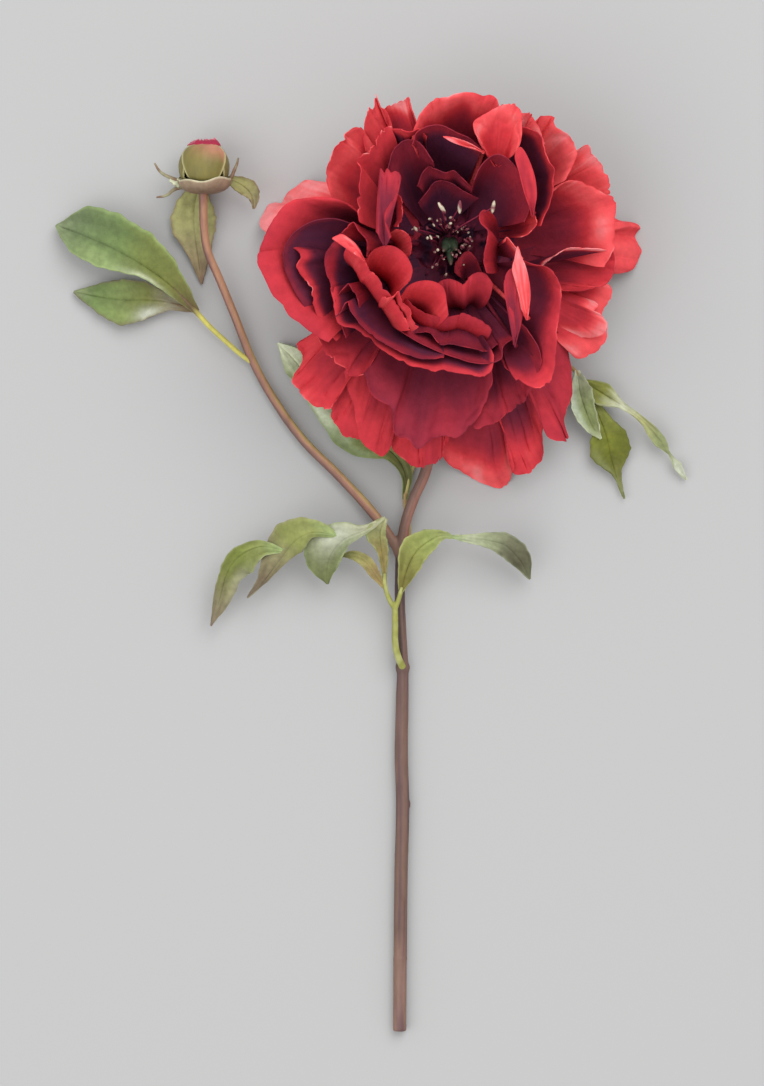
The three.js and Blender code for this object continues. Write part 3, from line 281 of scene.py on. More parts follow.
# Places in a row are taken from the bloom's centre, in plan as the eye sees them. Each petal has the
# place of its foot with its height over the centre, the rim's height and how far its ends fall below
# that, the bulge of its belly in plan, how far back its lip rolls (a share of its length) and how
# high, the arch of its belly, its ruffle and fray, the depth of red at the base and at the lip with
# where the lip's red sets in, and the rim from end to end.
# The depths of red are partly dye and partly painted light: low at a base in the cup's shade, high at a lit
# lip.
PETALS = {
    "skirt_right": ((14, 1, 0), -27, -18, (0, 0), (0.12, 6), 10, 1.0, 0.3, (0.55, 0.88, 0.3), [
        (58, 18), (67.5, 11.5), (72, 10.5), (77, 7.5), (75, 4), (77, -1), (76, -6), (73, -9), (66, -10.5),
        (56, -8)]),
    "skirt_low": ((3, -14, 0), -27, -18, (0, 0), (0.12, 6), 14, 1.2, 0.3, (0.54, 0.9, 0.62), [
        (-8, -74), (-3, -83), (3, -89), (12, -94), (21, -96.3), (25, -91.5), (27, -80), (26, -68)]),
    "skirt_low_right": ((8, -12, 0), -12, -8, (0, 0), (0.1, 4), 8, 1.0, 0.3, (0.3, 0.8, 0.5), [
        (22, -74), (25, -85), (26, -90.5), (31, -90.5), (36, -86), (38, -78), (38.5, -68)]),
    "skirt_low_point": ((12, -12, 1), -2, -10, (0, 0), (0.1, 4), 8, 1.0, 0.6, (0.42, 0.62, 0.3), [
        (42, -33), (46, -35), (48, -42), (49, -50), (49.5, -57), (48, -63), (46.5, -69), (48.2, -76),
        (45.8, -75.6), (46.2, -78), (39.5, -76.8), (36, -68), (32, -60)]),
    "skirt_low_left": ((-4, -13, 0), -4, -6, (0, 0), (0.09, 3), 8, 1.2, 1.0, (0.35, 0.76, 0.5), [
        (-26, -72), (-23, -81), (-18, -86.5), (-12, -89), (-8, -88.5), (-3, -85), (0, -80), (4, -72)]),
    "skirt_low_left_strip": ((-9, -12, 1), 2, -4, (0, 0), (0.09, 3), 8, 1.0, 0.4, (0.45, 0.74, 0.4), [
        (-42, -50), (-39, -62), (-37, -72), (-35.5, -77), (-31, -82), (-27, -84), (-24.5, -82), (-22, -75),
        (-22, -64)]),
    "skirt_left_low": ((-12, -9, 0), -2, -8, (0, 0), (0.11, 5), 10, 1.2, 0.8, (0.52, 0.8, 0.3), [
        (-46, -34), (-54, -35.5), (-60, -40), (-59, -45), (-62, -52), (-60, -58), (-55.5, -64), (-48, -65),
        (-44, -60)]),
    "skirt_left_low_strip": ((-11, -11, 0), -4, -6, (0, 0), (0.09, 3), 8, 1.0, 0.5, (0.5, 0.74, 0.3), [
        (-52, -56), (-48, -64), (-46, -70), (-41, -75.5), (-36, -77), (-32, -75), (-30, -66)]),
    "skirt_left": ((-13, 3, 0), -27, -20, (0, 0), (0.12, 6), 10, 1.0, 0.2, (0.75, 0.98, 0.3), [
        (-64, 0), (-72, 5), (-76, 10), (-73.5, 15), (-69, 17.6), (-66, 17.3), (-64.5, 21), (-60, 24.2),
        (-55, 25.8), (-47, 25), (-40, 20)]),
    "guard_left_up": ((-11, 9, 2), 26, 6, (0, 0), (0.07, 2), 0, 1.0, 0.8, (0.6, 0.88, 0.4), [
        (-44, 12), (-48.5, 24), (-49, 31), (-47.5, 36.5), (-44.5, 40.3), (-41.2, 42.5), (-41, 46),
        (-37.5, 48.2), (-34.5, 46), (-33, 38)]),
    "guard_up_point": ((-8, 12, 2), 20, 4, (0, 0), (0.07, 2), 0, 1.0, 1.0, (0.55, 0.86, 0.3), [
        (-37, 36), (-34, 46), (-33, 52), (-31.3, 56), (-29.8, 55), (-29.3, 61.5), (-28, 57.5), (-25.5, 54),
        (-24, 48), (-26, 40)]),
    "guard_up_point_right": ((-5, 13, 2), 16, 4, (0, 0), (0.07, 2), 0, 0.8, 0.8, (0.6, 0.94, 0.6), [
        (-28, 44), (-26.5, 54.5), (-22, 57), (-18, 58), (-16.3, 59.6), (-15.3, 56), (-13, 50), (-12, 42)]),
    "guard_top": ((2, 13, 2), 38, 4, (0, 2), (0.18, 11), -4, 0.8, 0.5, (0.4, 0.9, 0.5), [
        (-15, 40), (-13, 48), (-11.5, 53), (-9, 56), (-5, 59.6), (0, 60.4), (7, 62.4), (12, 61), (17, 60),
        (19.7, 57), (22, 48)]),
    "guard_top_right": ((6, 12, 2), 32, 5, (0, 0), (0.2, 8), -3, 1.0, 0.7, (0.66, 0.94, 0.3), [
        (15, 46), (19.5, 56), (22, 58), (26.5, 57.3), (28, 54.5), (33, 53.5), (35, 51), (38, 42)]),
    "guard_right_top": ((9, 9, 2), 28, 5, (0, 0), (0.16, 6), -2, 0.7, 0.4, (0.6, 0.9, 0.3), [
        (30, 42), (34.5, 50), (38, 52), (42.3, 52.2), (42.6, 49), (47, 45.5), (50, 40.3), (51, 36),
        (47, 27)]),
    "guard_right_up": ((11, 7, 2), 22, 5, (0, 0), (0.09, 3), 0, 0.7, 1.0, (0.7, 0.92, 0.3), [
        (44, 26), (45, 32), (49, 37.3), (52, 38.6), (56, 40.3), (57, 37.6), (60, 35), (62.3, 31), (64, 26),
        (65, 21)]),
    "guard_right": ((13, 3, 3), 25, 8, (0, 0), (0.15, 6), -6, 0.8, 0.6, (0.42, 0.9, 0.4), [
        (34, 20), (40, 21), (44.5, 24.5), (48, 26.5), (52, 26.2), (57, 24.5), (62, 21.5), (66, 19),
        (67, 14), (66.5, 7), (66, 0), (62, -8)]),
    "pleat_right": ((20, -10, 4), 24, 5, (0, 0), (0.16, 3), -4, 0.6, 0.6, (0.25, 1.0, 0.76), [
        (36, -9), (39, -6.5), (42, -4), (46, -1.5), (51, -0.4), (57, -0.6), (63, -1.6)]),
    "guard_right_low": ((16, -8, 3), 14, 2, (0, 0), (0.07, 2), -2, 0.8, 0.2, (0.4, 0.78, 0.3), [
        (56, 8), (62, 3), (66, -3), (66.2, -8), (65, -12), (62, -15.5), (57, -17), (52, -17.6), (46, -17.5),
        (40, -16)]),
    "skirt_right_low": ((14, -8, 1), 4, 0, (0, 0), (0.1, 4), 6, 0.5, 0.6, (0.7, 0.92, 0.5), [
        (58, -13), (64.7, -15.5), (65, -20), (62.3, -24), (61, -27.5), (63.3, -31), (63, -36.5), (60, -41),
        (55, -44), (50, -44.2), (46, -38), (42, -30)]),
    "skirt_right_curl": ((16, -9, 2), 11, 6, (0, 0), (0.1, 3), 4, 0.4, 0.6, (0.7, 0.96, 0.6), [
        (52, -21), (57, -21.5), (60, -23.5), (58.5, -26), (61, -27.5), (63.4, -31), (62, -34.5), (57, -36),
        (50, -36)]),
    "guard_left": ((-13, -3, 4), 36, 6, (0, 0), (0.17, 11), -6, 0.8, 0.4, (0.36, 0.72, 0.4), [
        (-36, 13), (-43, 18), (-50, 20), (-58, 19.5), (-64, 17.5), (-69, 12.5), (-73, 6), (-75.5, 0),
        (-76.5, -4.5), (-74.5, -10), (-70, -19), (-64.5, -27), (-59.5, -31), (-54, -35), (-48, -38)]),
    # a dark sheet inside guard_left's rolled band that stands for the shade under it: painted shade
    "left_painted_shade": ((-15, -2, 7.5), 36, 6, (0, 0), (0.07, 4), 1.5, 0.5, 0.0, (0.15, 0.36, 0.8), [
        (-36, 8), (-41, 9.8), (-46, 10.8), (-52, 10.4), (-58, 8.4), (-62.5, 5.2), (-65.6, 0), (-66.6, -5),
        (-65.6, -10), (-62.5, -16), (-59, -22), (-57, -25)]),
    "left_nested_outer": ((-12, -5, 6), 34, 7, (0, 0), (0.12, 4), -4, 0.8, 1.0, (0.2, 0.74, 0.76), [
        (-52, 7), (-57, 5.4), (-60.5, 3.8), (-62.2, 1.8), (-62, -0.4), (-60, -1.8), (-59.3, -4.5),
        (-61, -7.8), (-59.5, -11), (-57.3, -14), (-55.8, -18), (-55.4, -23), (-53.4, -28), (-50, -34),
        (-45, -38)]),
    "left_nested_inner": ((-12, -6, 6), 36, 6, (0, 0), (0.1, 3), -2, 0.8, 0.4, (0.05, 0.56, 0.74), [
        (-45, 2), (-46.5, 0.5), (-48.5, -2.5), (-49.6, -6.5), (-49.3, -11), (-48, -15), (-47.6, -18),
        (-46.2, -22), (-44.8, -26), (-42.8, -31), (-41, -37)]),
    "left_spike": ((-15, -2, 7), 39, 3, (0, 0), (0.07, 2), 0, 0.6, 0.4, (0.3, 0.66, 0.4), [
        (-44, 4.6), (-41.5, 6.6), (-38.8, 9.8), (-36.5, 7), (-34, 4), (-33, 0), (-33, -4)]),
    "left_low_small": ((-13, -9, 7), 37, 3, (0, 0), (0.07, 2), 0, 0.6, 0.6, (0.15, 0.52, 0.5), [
        (-44, -20), (-43, -17), (-40, -15), (-38.5, -18), (-36.5, -21), (-35, -27)]),
    "wall_left_low": ((-26, -14, 10), 46, 4, (-6.5, -4.2), (0.09, 3), 0, 0.3, 0.6, (0.6, 0.8, 0.3), [
        (-39.5, 1), (-37, -0.8), (-34.5, -4.2), (-33, -7.2), (-31.8, -9.6), (-30, -10.4), (-27.5, -13.6),
        (-24, -18.6), (-21.2, -22.4), (-18.5, -26.5), (-16.4, -30), (-15, -33)]),
    "wall_low": ((-5, -10, 6), 38, 3, (0, 0), (0.15, 8), -4, 0.7, 0.9, (0.22, 0.72, 0.8), [
        (-48, -17), (-46.5, -24), (-44, -31), (-38, -32.5), (-34, -35.8), (-29, -40), (-22, -44.5),
        (-15, -48), (-8, -50), (0, -50.6), (8, -51.8), (13.5, -52.2), (17.5, -49.5), (18, -44)]),
    "wall_low_inner": ((-7, -9, 6), 41, 3, (0, 0), (0.1, 3), -2, 0.7, 0.8, (0.15, 0.46, 0.82), [
        (-45.5, -28), (-43.5, -26), (-41.5, -22), (-39.5, -25), (-37, -27.7), (-34, -32), (-30, -36.5),
        (-24, -40), (-17, -42.8), (-9, -44.6), (-2, -44)]),
    "inner_low_left": ((-17, -21, 12), 48, 2, (-4, -5), (0.07, 2), 0, 0.5, 0.5, (0.5, 0.84, 0.3), [
        (-27, -20), (-24, -20.5), (-22, -19.7), (-20, -18), (-18.5, -22), (-15.3, -25.6), (-14.7, -29),
        (-12, -32)]),
    "inner_left": ((-22, -14, 8), 37, 3, (-8, -8), (0.09, 3), 0, 0.4, 0.0, (0.44, 0.8, 0.3), [
        (-32, -5), (-30.5, -1.5), (-26, 0.4), (-21, -0.5), (-16.8, -4), (-14.5, -9), (-15.5, -13),
        (-18, -15.5)]),
    "inner_low": ((-12, -23, 8), 34, 3, (-6, -9), (0.09, 3), 0, 0.4, 0.0, (0.44, 0.8, 0.3), [
        (-18, -18), (-16, -15.5), (-13, -14), (-9, -13.6), (-4, -15), (-1.5, -18), (-0.5, -23), (0, -27)]),
    "inner_low_right": ((6, -22, 8), 30, 3, (0, -9), (0.09, 3), 0, 0.5, 0.2, (0.4, 0.66, 0.3), [
        (-5, -15), (-3, -13.7), (0, -13), (3, -13.8), (6, -14.8), (8.5, -12), (12, -10.3), (15, -11),
        (17.3, -14.5)]),
    "inner_right": ((19.4, -4, 8), 35, 3, (3.4, -1), (0.07, 2), 0, 0.6, 0.3, (0.4, 0.68, 0.3), [
        (16, 14), (13.5, 14), (12.3, 12), (13, 9.5), (15.5, 7), (15, 3), (14.5, -1), (14.2, -6),
        (15.5, -11)]),
    "inner_low_outer": ((0, -24, 8), 30, 2, (-1, -9), (0.07, 2), 0, 0.5, 0.3, (0.35, 0.66, 0.3), [
        (-18, -20), (-14, -24), (-8, -27), (-2, -28), (3, -27.4), (6, -26.6), (11, -28.5), (15, -31),
        (17, -33.5)]),
    "inner_low_dark": ((4, -12, 6), 33, 2, (0, 0), (0.05, 0), 0, 0.8, 0.8, (0.22, 0.42, 0.5), [
        (-14, -35), (-8, -35), (-3.5, -39), (1, -38.5), (8, -40), (15, -41.5), (20, -39.5)]),
    "core_low_right": ((7, -13, 8), 17, 3, (2, -2), (0.1, 3), 0, 0.6, 0.5, (0.3, 0.56, 0.3), [
        (2, -10), (2.6, -6.4), (5, -3.4), (7.6, -2.4), (10, -4.2), (11.6, -7.6), (13, -11)]),
    "inner_low_arc": ((2, -12, 6), 36, 2, (0, 0), (0.05, 0), 0, 0.6, 0.3, (0.22, 0.52, 0.7), [
        (-20, -33), (-12, -38.5), (-4, -42), (3, -44.6), (10, -46.3), (17, -46.4), (20.7, -44.5), (22, -40),
        (26, -37)]),
    "wall_right_lip": ((31, -28, 44), 46, 2, (0, 0), (0.06, 1), 2, 0.3, 0.8, (0.9, 0.96, 0.3), [
        (29, -25), (27.6, -18), (26.2, -12.4), (25.4, -8.6), (26.6, -3.6), (27.6, 0), (29, -4), (30.6, -8),
        (31.9, -13), (32.6, -19.6), (31.9, -25)]),
    "wall_right_strip": ((26.2, -38.8, 41), 44, 3, (0, 0), (0.06, 1), 2, 0.4, 0.8, (0.38, 0.64, 0.3), [
        (26.8, -34), (25.6, -26.4), (23.2, -22), (22, -16), (23, -10.8), (25.6, -8.4), (26.6, -12.4),
        (28, -18), (29.4, -24.6), (28.6, -31), (27.2, -35.4)]),
    "wall_right_low": ((9, -10, 5), 40, 2, (0, 0), (0.15, 9), -4, 0.7, 1.0, (0.3, 0.7, 0.62), [
        (30, -6), (35, -7.5), (40, -8.6), (43.3, -12), (45.6, -17), (45.6, -22), (44.6, -28), (43.6, -33),
        (42.6, -40), (42, -48), (41.5, -53), (39, -55.6), (34, -56.6), (27, -54)]),
    "right_nested": ((8, -12, 6), 35, 3, (0, 0), (0.07, 2), 0, 0.7, 0.5, (0.2, 0.5, 0.5), [
        (27, -30), (32, -34), (36, -40), (36.5, -47), (33, -53), (27, -51), (22, -48)]),
    "guard_low": ((-2, -13, 4), 24, -2, (0, 0), (0.1, 4), 4, 1.0, 1.0, (0.34, 0.47, 0.4), [
        (-34, -50), (-30, -60), (-23.5, -66), (-23, -73), (-21.5, -76.5), (-16.5, -77), (-13, -81),
        (-8.5, -79.5), (-3.5, -76.5), (2, -77), (7, -74.5), (12, -69.5), (15, -63), (17, -55), (17, -48)]),
    "guard_low_right": ((6, -13, 4), 20, -2, (0, 0), (0.09, 3), 4, 1.0, 0.8, (0.28, 0.56, 0.5), [
        (10, -74), (17, -71), (22, -67.7), (26, -64.8), (31.5, -61.5), (34, -57), (37, -52)]),
    "guard_low_left": ((-12, -9, 4), 24, 2, (0, 0), (0.09, 3), 2, 1.0, 1.0, (0.36, 0.68, 0.4), [
        (-50, -32), (-53, -36), (-50, -42), (-46, -47), (-41.5, -49.5), (-41, -51.7), (-37, -52.3),
        (-33, -50.5), (-30, -46)]),
    "top_arc": ((-2, 12, 5), 42, 3, (0, 2), (0.05, 0), 0, 0.6, 0.3, (0.14, 0.5, 0.66), [
        (-15, 41), (-13.5, 45), (-9.5, 47.6), (-5, 48.4), (0, 47.6), (5, 45.2), (9, 42), (14, 38)]),
    "top_sliver": ((13.6, 37.8, 42), 45, 1, (0, 0), (0.06, 1), 1, 0.2, 0.3, (0.9, 0.95, 0.3), [
        (10, 39.2), (6, 40.3), (2, 41.6), (-2.6, 43.9), (1, 43.6), (5, 42.6), (9.4, 40.8)]),
    "top_lobe": ((-9, 9, 6), 37, 3, (0, 0), (0.07, 2), 2, 0.6, 0.2, (0.16, 0.44, 0.3), [
        (-25, 26), (-24, 33), (-22.5, 38), (-20, 41), (-16.5, 42.7), (-12.5, 42), (-9, 38), (-6, 34)]),
    "top_small": ((-2, 9, 7), 30, 2, (0, 0), (0.07, 2), 0, 1.0, 0.5, (0.16, 0.46, 0.5), [
        (-12, 24), (-11, 28), (-8, 31.3), (-5, 30.6), (-1, 29), (3, 29.6), (6, 27.5), (10, 23)]),
    "top_small_inner": ((-3, 8, 7), 26, 2, (0, 0), (0.07, 2), 0, 1.0, 0.5, (0.1, 0.36, 0.5), [
        (-12, 17), (-9.5, 21), (-6, 25), (-2, 26), (2, 25), (6, 22), (12, 19)]),
    "top_right_lobe": ((8, 8, 6), 43, 3, (0, 0), (0.07, 2), 2, 0.5, 0.2, (0.2, 0.5, 0.3), [
        (10, 27), (12.6, 32.4), (17, 36.4), (21.5, 36.6), (25.6, 33.4), (29, 28), (31.4, 22.5), (32, 16),
        (30, 10)]),
    "top_right_lip": ((33.2, 13, 44), 47, 2, (0, 0), (0.06, 1), 2, 0.3, 0.6, (0.6, 0.74, 0.3), [
        (31.6, 19), (30, 22.5), (28.8, 26.4), (28, 30.5), (26.5, 35.4), (27, 38.2), (28.6, 39.9),
        (31, 36.4), (33, 31.4), (34.4, 26), (34.8, 20.4), (34.2, 16.4)]),
    "wall_top_right": ((11, 8, 5), 42, 3, (0, 0), (0.07, 2), -2, 0.8, 0.6, (0.18, 0.74, 0.78), [
        (27, 46), (30, 47.7), (33.5, 46), (36.5, 44), (38.5, 40), (40.6, 35), (42.8, 31), (42, 26.5),
        (41.2, 22), (40, 16), (37, 8)]),
    "top_flap": ((19, 33, 33), 47, 2, (0, 0), (0.12, 5), 4, 1.2, 0.2, (0.8, 0.91, 0.3), [
        (14, 38.6), (12, 42), (9.6, 45), (9.2, 49.5), (12, 52), (15, 53.4), (19, 55), (23, 56), (27, 55.4),
        (29.4, 53), (29, 48), (28.6, 43), (26.6, 37)]),
    "right_small": ((16, 4, 7), 38, 2, (0, 0), (0.07, 2), 0, 0.4, 0.3, (0.5, 0.88, 0.4), [
        (33, 15), (34.8, 11), (34.6, 8.5), (32, 5.6), (29, 4)]),
    "right_tip": ((16, -2, 7), 42, 2, (0, 0), (0.07, 2), 0, 0.4, 0.3, (0.4, 0.92, 0.6), [
        (22.5, 2), (23.5, 3.6), (26, 0.5), (28, -2.5), (29.5, -5)]),
    "up_left_outer": ((-12, 3, 6), 42, 3, (0, 0), (0.14, 3), 0, 0.7, 1.4, (0.5, 0.78, 0.3), [
        (-36, 10), (-36.5, 17), (-35.5, 24), (-35, 31), (-36.4, 35), (-33, 38.7), (-31, 40.6), (-29, 43.6),
        (-26, 47), (-22.5, 48)]),
    "up_left_arc": ((-8, 9, 6), 38, 3, (0, 0), (0.07, 2), -2, 0.6, 0.3, (0.22, 0.84, 0.78), [
        (-28, 38), (-26.8, 43), (-24.7, 46.6), (-20, 46.9), (-16, 45.9), (-12, 47), (-9, 44)]),
    "up_left_strip": ((-25.5, 2, 43), 45, 2, (0, 0), (0.1, 4), 2, 0.5, 0.6, (0.34, 0.6, 0.3), [
        (-29.5, 6), (-29.3, 15), (-28.6, 24), (-27.8, 31.2), (-26.2, 29.4), (-25, 31.3), (-23.4, 29.6),
        (-21.8, 30.4), (-20, 29.5), (-19.4, 27), (-20.8, 24), (-22.5, 20), (-25, 15), (-25.5, 12), (-24, 8),
        (-22.8, 4)]),
    "up_left_inner": ((-14, 6, 8), 40, 2, (-5, 1), (0.05, 0), 0, 0.5, 0.9, (0.12, 0.74, 0.7), [
        (-21.7, 28.7), (-19.4, 28), (-19, 25.5), (-20.6, 23), (-19.5, 20), (-18.6, 17), (-18.4, 12),
        (-20, 7.5)]),
    "left_tip": ((-21, -2, 8), 34, 2, (-5, -2), (0.06, 1), 0, 0.4, 0.3, (0.45, 0.84, 0.4), [
        (-21, 7), (-19, 6.6), (-16.5, 5), (-15.3, 2.5), (-15, -1), (-16, -4)]),
    "left_pale_tip": ((-34.2, -5.4, 46), 47, 1, (0, 0), (0.06, 1), 2, 0.2, 0.4, (0.84, 0.93, 0.3), [
        (-36.4, -3.4), (-38.4, -2.2), (-39, 0.6), (-41.6, 1.2), (-42.6, 2.8), (-46.6, 3.2), (-43, 4.8),
        (-40.4, 3.6), (-37.6, 1.2), (-35.6, -1.6)]),
}


def chance(seed):
    """A number from 0 to 1 that is always the same for the same seed."""
    return (math.sin(seed * 127.1 + 311.7) * 43758.5453) % 1.0


def along(points, share):
    """The place at a share of the way along a smooth line through the points."""
    at = min(max(share, 0), 1) * (len(points) - 1)
    low = min(int(at), len(points) - 2)
    a, b = Vector(points[low]), Vector(points[low + 1])
    before = Vector(points[low - 1]) if low > 0 else 2 * a - b
    after = Vector(points[low + 2]) if low + 2 < len(points) else 2 * b - a
    f = at - low
    return 0.5 * ((2 * a) + (b - before) * f + (2 * before - 5 * a + 4 * b - after) * f ** 2
                  + (3 * a - 3 * b + after - before) * f ** 3)


def red(depth):
    """The petals' colour from burgundy at 0 to pink at 1: dye, with painted shade low and painted highlight
    at the top.
    """
    depth = min(max(depth, 0), 1)
    for (low, first), (high, second) in zip(DYE_AND_SHADE_STEPS, DYE_AND_SHADE_STEPS[1:]):
        if depth <= high:
            return mix(first, second, (depth - low) / (high - low))
    return DYE_AND_SHADE_STEPS[-1][1]


def in_space(x, y, height):
    """The place in space of what the eye sees at x, y round the bloom's centre, at that height."""
    spot = BLOOM_CENTRE + Vector((x, y, height))
    nearer = (EYE.z - spot.z) / EYE_TO_STEM
    return Vector((EYE.x + (spot.x - EYE.x) * nearer, EYE.y + (spot.y - EYE.y) * nearer, spot.z))


def petal_place(foot, height, fall, bulge, lip, arch, ruffle, fray, rim, seed):
    """The function that gives a petal's point for u from -1 to 1 along its rim and v from foot to rim."""
    last = len(rim) - 1
    edge = [in_space(x, y, height - fall * (2 * k / last - 1) ** 2) for k, (x, y) in enumerate(rim)]
    root = in_space(*foot)
    middle = sum(edge, Vector()) / len(edge)
    belly = Vector((*bulge, 0))
    length = (middle - root).length
    nicks = [(2 * chance(seed * 13 + k) - 1, 0.02 + 0.05 * chance(seed * 17 + k)) for k in range(NICK_COUNT)]
    columns = {}

    def column(u):
        if u not in columns:
            tip = along(edge, (u + 1) / 2)
            start = root + (tip - middle) * FOOT_SPREAD
            start.z = root.z
            rise = tip.z - start.z
            hollow = start.lerp(tip, HOLLOW_SHARE) + belly
            hollow.z = start.z + HOLLOW_RISE * rise + arch
            crest = start.lerp(tip, 1 - lip[0]) + belly
            crest.z = start.z + CREST_RISE * rise + lip[1]
            short = 0.010 * fray * (math.sin(u * 31 + seed) + math.sin(u * 57 + 2 * seed))
            short += 0.022 * fray * abs(noise.noise(Vector((u * 21, seed * 2.3, 5))))
            for at, depth in nicks:
                short += fray * depth * max(1 - abs(u - at) / NICK_REACH, 0)
            columns[u] = (start, hollow, crest, tip, abs(short))
        return columns[u]

    def place(u, v):
        start, hollow, crest, tip, short = column(u)
        t = v - short * v ** 8
        s = 1 - t
        point = start * s ** 3 + hollow * 3 * s * s * t + crest * 3 * s * t * t + tip * t ** 3
        loose = ease(0.2, 0.8, v)
        spot = Vector((u * 2.0 * max(length / 40, 0.6), v * length / 22, seed * 3.7))
        point += noise.noise_vector(spot) * WAVE_DEPTH * ruffle * loose
        point += noise.noise_vector(spot * 3.1) * CRUMPLE_DEPTH * ruffle * loose
        fold = abs(noise.noise(Vector((u * 3.1 + seed, v * 0.9, seed * 2.1))))
        point.z -= FOLD_DEPTH * ruffle * loose * max(1 - fold / FOLD_WIDTH, 0) ** 2
        point.z += FLUTE_DEPTH * ruffle * v ** 5 * math.sin(u * 17 + seed)
        return point

    return place


def flattened(point):
    """Eases a drooping petal on to the surface, so that it lies there rather than goes through."""
    if point.z < SURFACE_EASE:
        point.z = SURFACE_EASE * math.exp((point.z - SURFACE_EASE) / SURFACE_EASE)
    return point


def laid(surface):
    """A petal's or a leaf's surface, with what would go under the resting surface laid on it."""
    return lambda u, v: flattened(surface(u, v))


def pressed_sheet(name, place, paint, columns, rows, thickness):
    """A sheet of cloth on the surface that place gives, dyed by paint, with a thickness."""
    bpy.ops.object.select_all(action="DESELECT")
    bpy.ops.mesh.primitive_grid_add(x_subdivisions=columns, y_subdivisions=rows, size=2)
    sheet = bpy.context.object
    sheet.name = sheet.data.name = name
    dye = sheet.data.color_attributes.new("dye", "FLOAT_COLOR", "POINT")
    for vertex, spot in zip(sheet.data.vertices, dye.data):
        u, v = vertex.co.x, (vertex.co.y + 1) / 2
        spot.color = (*paint(u, v), 1)
        vertex.co = place(u, v) * MM
    bpy.ops.object.modifier_add(type="SOLIDIFY")
    sheet.modifiers["Solidify"].thickness = thickness * MM
    sheet.modifiers["Solidify"].offset = 0
    bpy.ops.object.modifier_apply(modifier="Solidify")
    bpy.ops.object.shade_smooth_by_angle(angle=math.radians(50))
    return sheet


petal_finish = finish_from_dye(
    "petal_cloth", roughness=0.62, streaks=(260, 260, 260), streak_strength=0.11, bump=0.35, grain=900,
    specular=0.06)

noise.seed_set(7)        # without a seed of its own, noise_vector bends the petals anew on each run
for seed, (name, (foot, *form, fray, depths, rim)) in enumerate(PETALS.items(), start=1):
    surface = petal_place(foot, *form, fray, rim, seed)
    base_depth, lip_depth, lip_start = depths

    def paint(u, v):
        sway = 0.09 * noise.noise(Vector((u * 2.6, seed * 1.3, 2)))
        # from base to lip the red deepens: partly dye, partly painted shade in the cup and painted light at
        # the lip
        deep = ease(lip_start, 0.65 + 0.35 * lip_start, v + sway)
        # pale pink here and there at the cut edge: partly fraying, partly a painted highlight along the lip
        fray_and_highlight = ease(-0.05, 0.35, noise.noise(Vector((u * 4.5, seed * 1.9, 0))))
        pale = (0.24 * min(fray, 1) * fray_and_highlight - 0.05) * ease(0.965, 1, v)
        vein = 0.04 * noise.noise(Vector((u * 16, v * 2.5, seed)))
        vein += 0.11 * noise.noise(Vector((u * 2.4, v * 2.4, seed + 9)))
        return red(base_depth + (lip_depth - base_depth) * deep + pale + vein)

    petal = pressed_sheet(name, laid(surface), paint, columns=64, rows=40, thickness=CLOTH_THICKNESS)
    x, y, height = foot
    if height > CLAW_HEIGHT:
        bend = in_space(x, y, height - CLAW_DROP)
        claw_foot = in_space(x / 2, y / 2, CLAW_FOOT_HEIGHT)
        claw = wire("claw", [in_space(x, y, height), bend, claw_foot], CLAW_RADII, sides=2, steps=8)
        bpy.ops.object.shade_smooth()
        # the claw takes its petal's base red, painted shade included
        dyed(claw, lambda point: red(base_depth))
        petal = joined(name, [petal, claw])
    settle(petal, "bloom_petals", petal_finish)

# Core of the bloom -------------------------------------------------------------------------------
# A low pad of soft plastic, dyed dark red, that all petals and stamens are glued to. Its top is
# creased and shows a little between the inner petals, and the rest of it is hidden by their feet.
CORE_LIFT = 3            # from the bloom's centre up to the pad's
CORE_RADII = (26, 26, 6)
CREASE_DEPTH = 6
CORE_DARK, CORE_RED = (0.03, 0.010, 0.024), (0.16, 0.022, 0.048)


def crease_at(spot):
    """How deep the pad is creased there: not in its middle, near its rim or on its underside."""
    crease = abs(noise.noise(spot * 0.16)) + 0.5 * abs(noise.noise(spot * 0.34))
    reach = spot.xy.length
    return CREASE_DEPTH * crease * ease(4, 9, reach) * ease(3, 5, spot.z) * ease(24, 18, reach)


core = joined("bloom_core", [swelling(BLOOM_CENTRE + Vector((0, 0, CORE_LIFT)), CORE_RADII)])
bpy.ops.object.modifier_add(type="SUBSURF")
core.modifiers["Subdivision"].subdivision_type = "SIMPLE"
core.modifiers["Subdivision"].levels = 3
core.modifiers["Subdivision"].render_levels = 3
bpy.ops.object.modifier_apply(modifier="Subdivision")
for vertex in core.data.vertices:
    vertex.co.z -= crease_at(vertex.co / MM - BLOOM_CENTRE) * MM
bpy.ops.object.shade_smooth()
dyed(core, lambda point: mix(CORE_DARK, CORE_RED, ease(-0.25, 0.35, noise.noise(point * 0.2))))
settle(core, "bloom_petals", petal_finish)

# Stamens -----------------------------------------------------------------------------------------
# Maroon threads with cream anthers, cut from moulded strips that are wound round the carpels on the
# core. They lean out and stand at different heights, as their tips were pushed about by hand.
STAMEN_COUNT = 54
STAMEN_FOOT = BLOOM_CENTRE + Vector((0, 0, 9.35))
GOLDEN_ANGLE = 2.39996   # the turn from one thread to the next, which never lines them up
CROWDED_SIDE = 3.4       # the direction in which the threads lean out furthest, in radians from +X
THREAD_RADII = [0.42, 0.3]
LONG_STAMENS = {7: (-3.4, 12.4, 24), 20: (3.6, 12.8, 24), 33: (16.6, 12.6, 26)}    # where those tips stand
LONG_ANTHER = (0.85, 2.9, 1.15)    # half its breadth, half its length and its tilt
THREAD_MAROON_STRETCH = (36, 52)    # the heights between which a thread turns from dark to maroon
LONG_TIP_STRETCH = (58, 60)         # the heights over which only the long stamens' anthers stand
THREAD_DARK, THREAD_MAROON = (0.05, 0.006, 0.02), (0.22, 0.02, 0.05)
ANTHER_MAROON, ANTHER_CREAM = (0.20, 0.04, 0.06), (0.60, 0.54, 0.40)


def in_ring(angle, radius, height):
    """A place round the bloom's axis, at a height over the stamens' feet."""
    return STAMEN_FOOT + Vector((radius * math.cos(angle), radius * math.sin(angle), height))


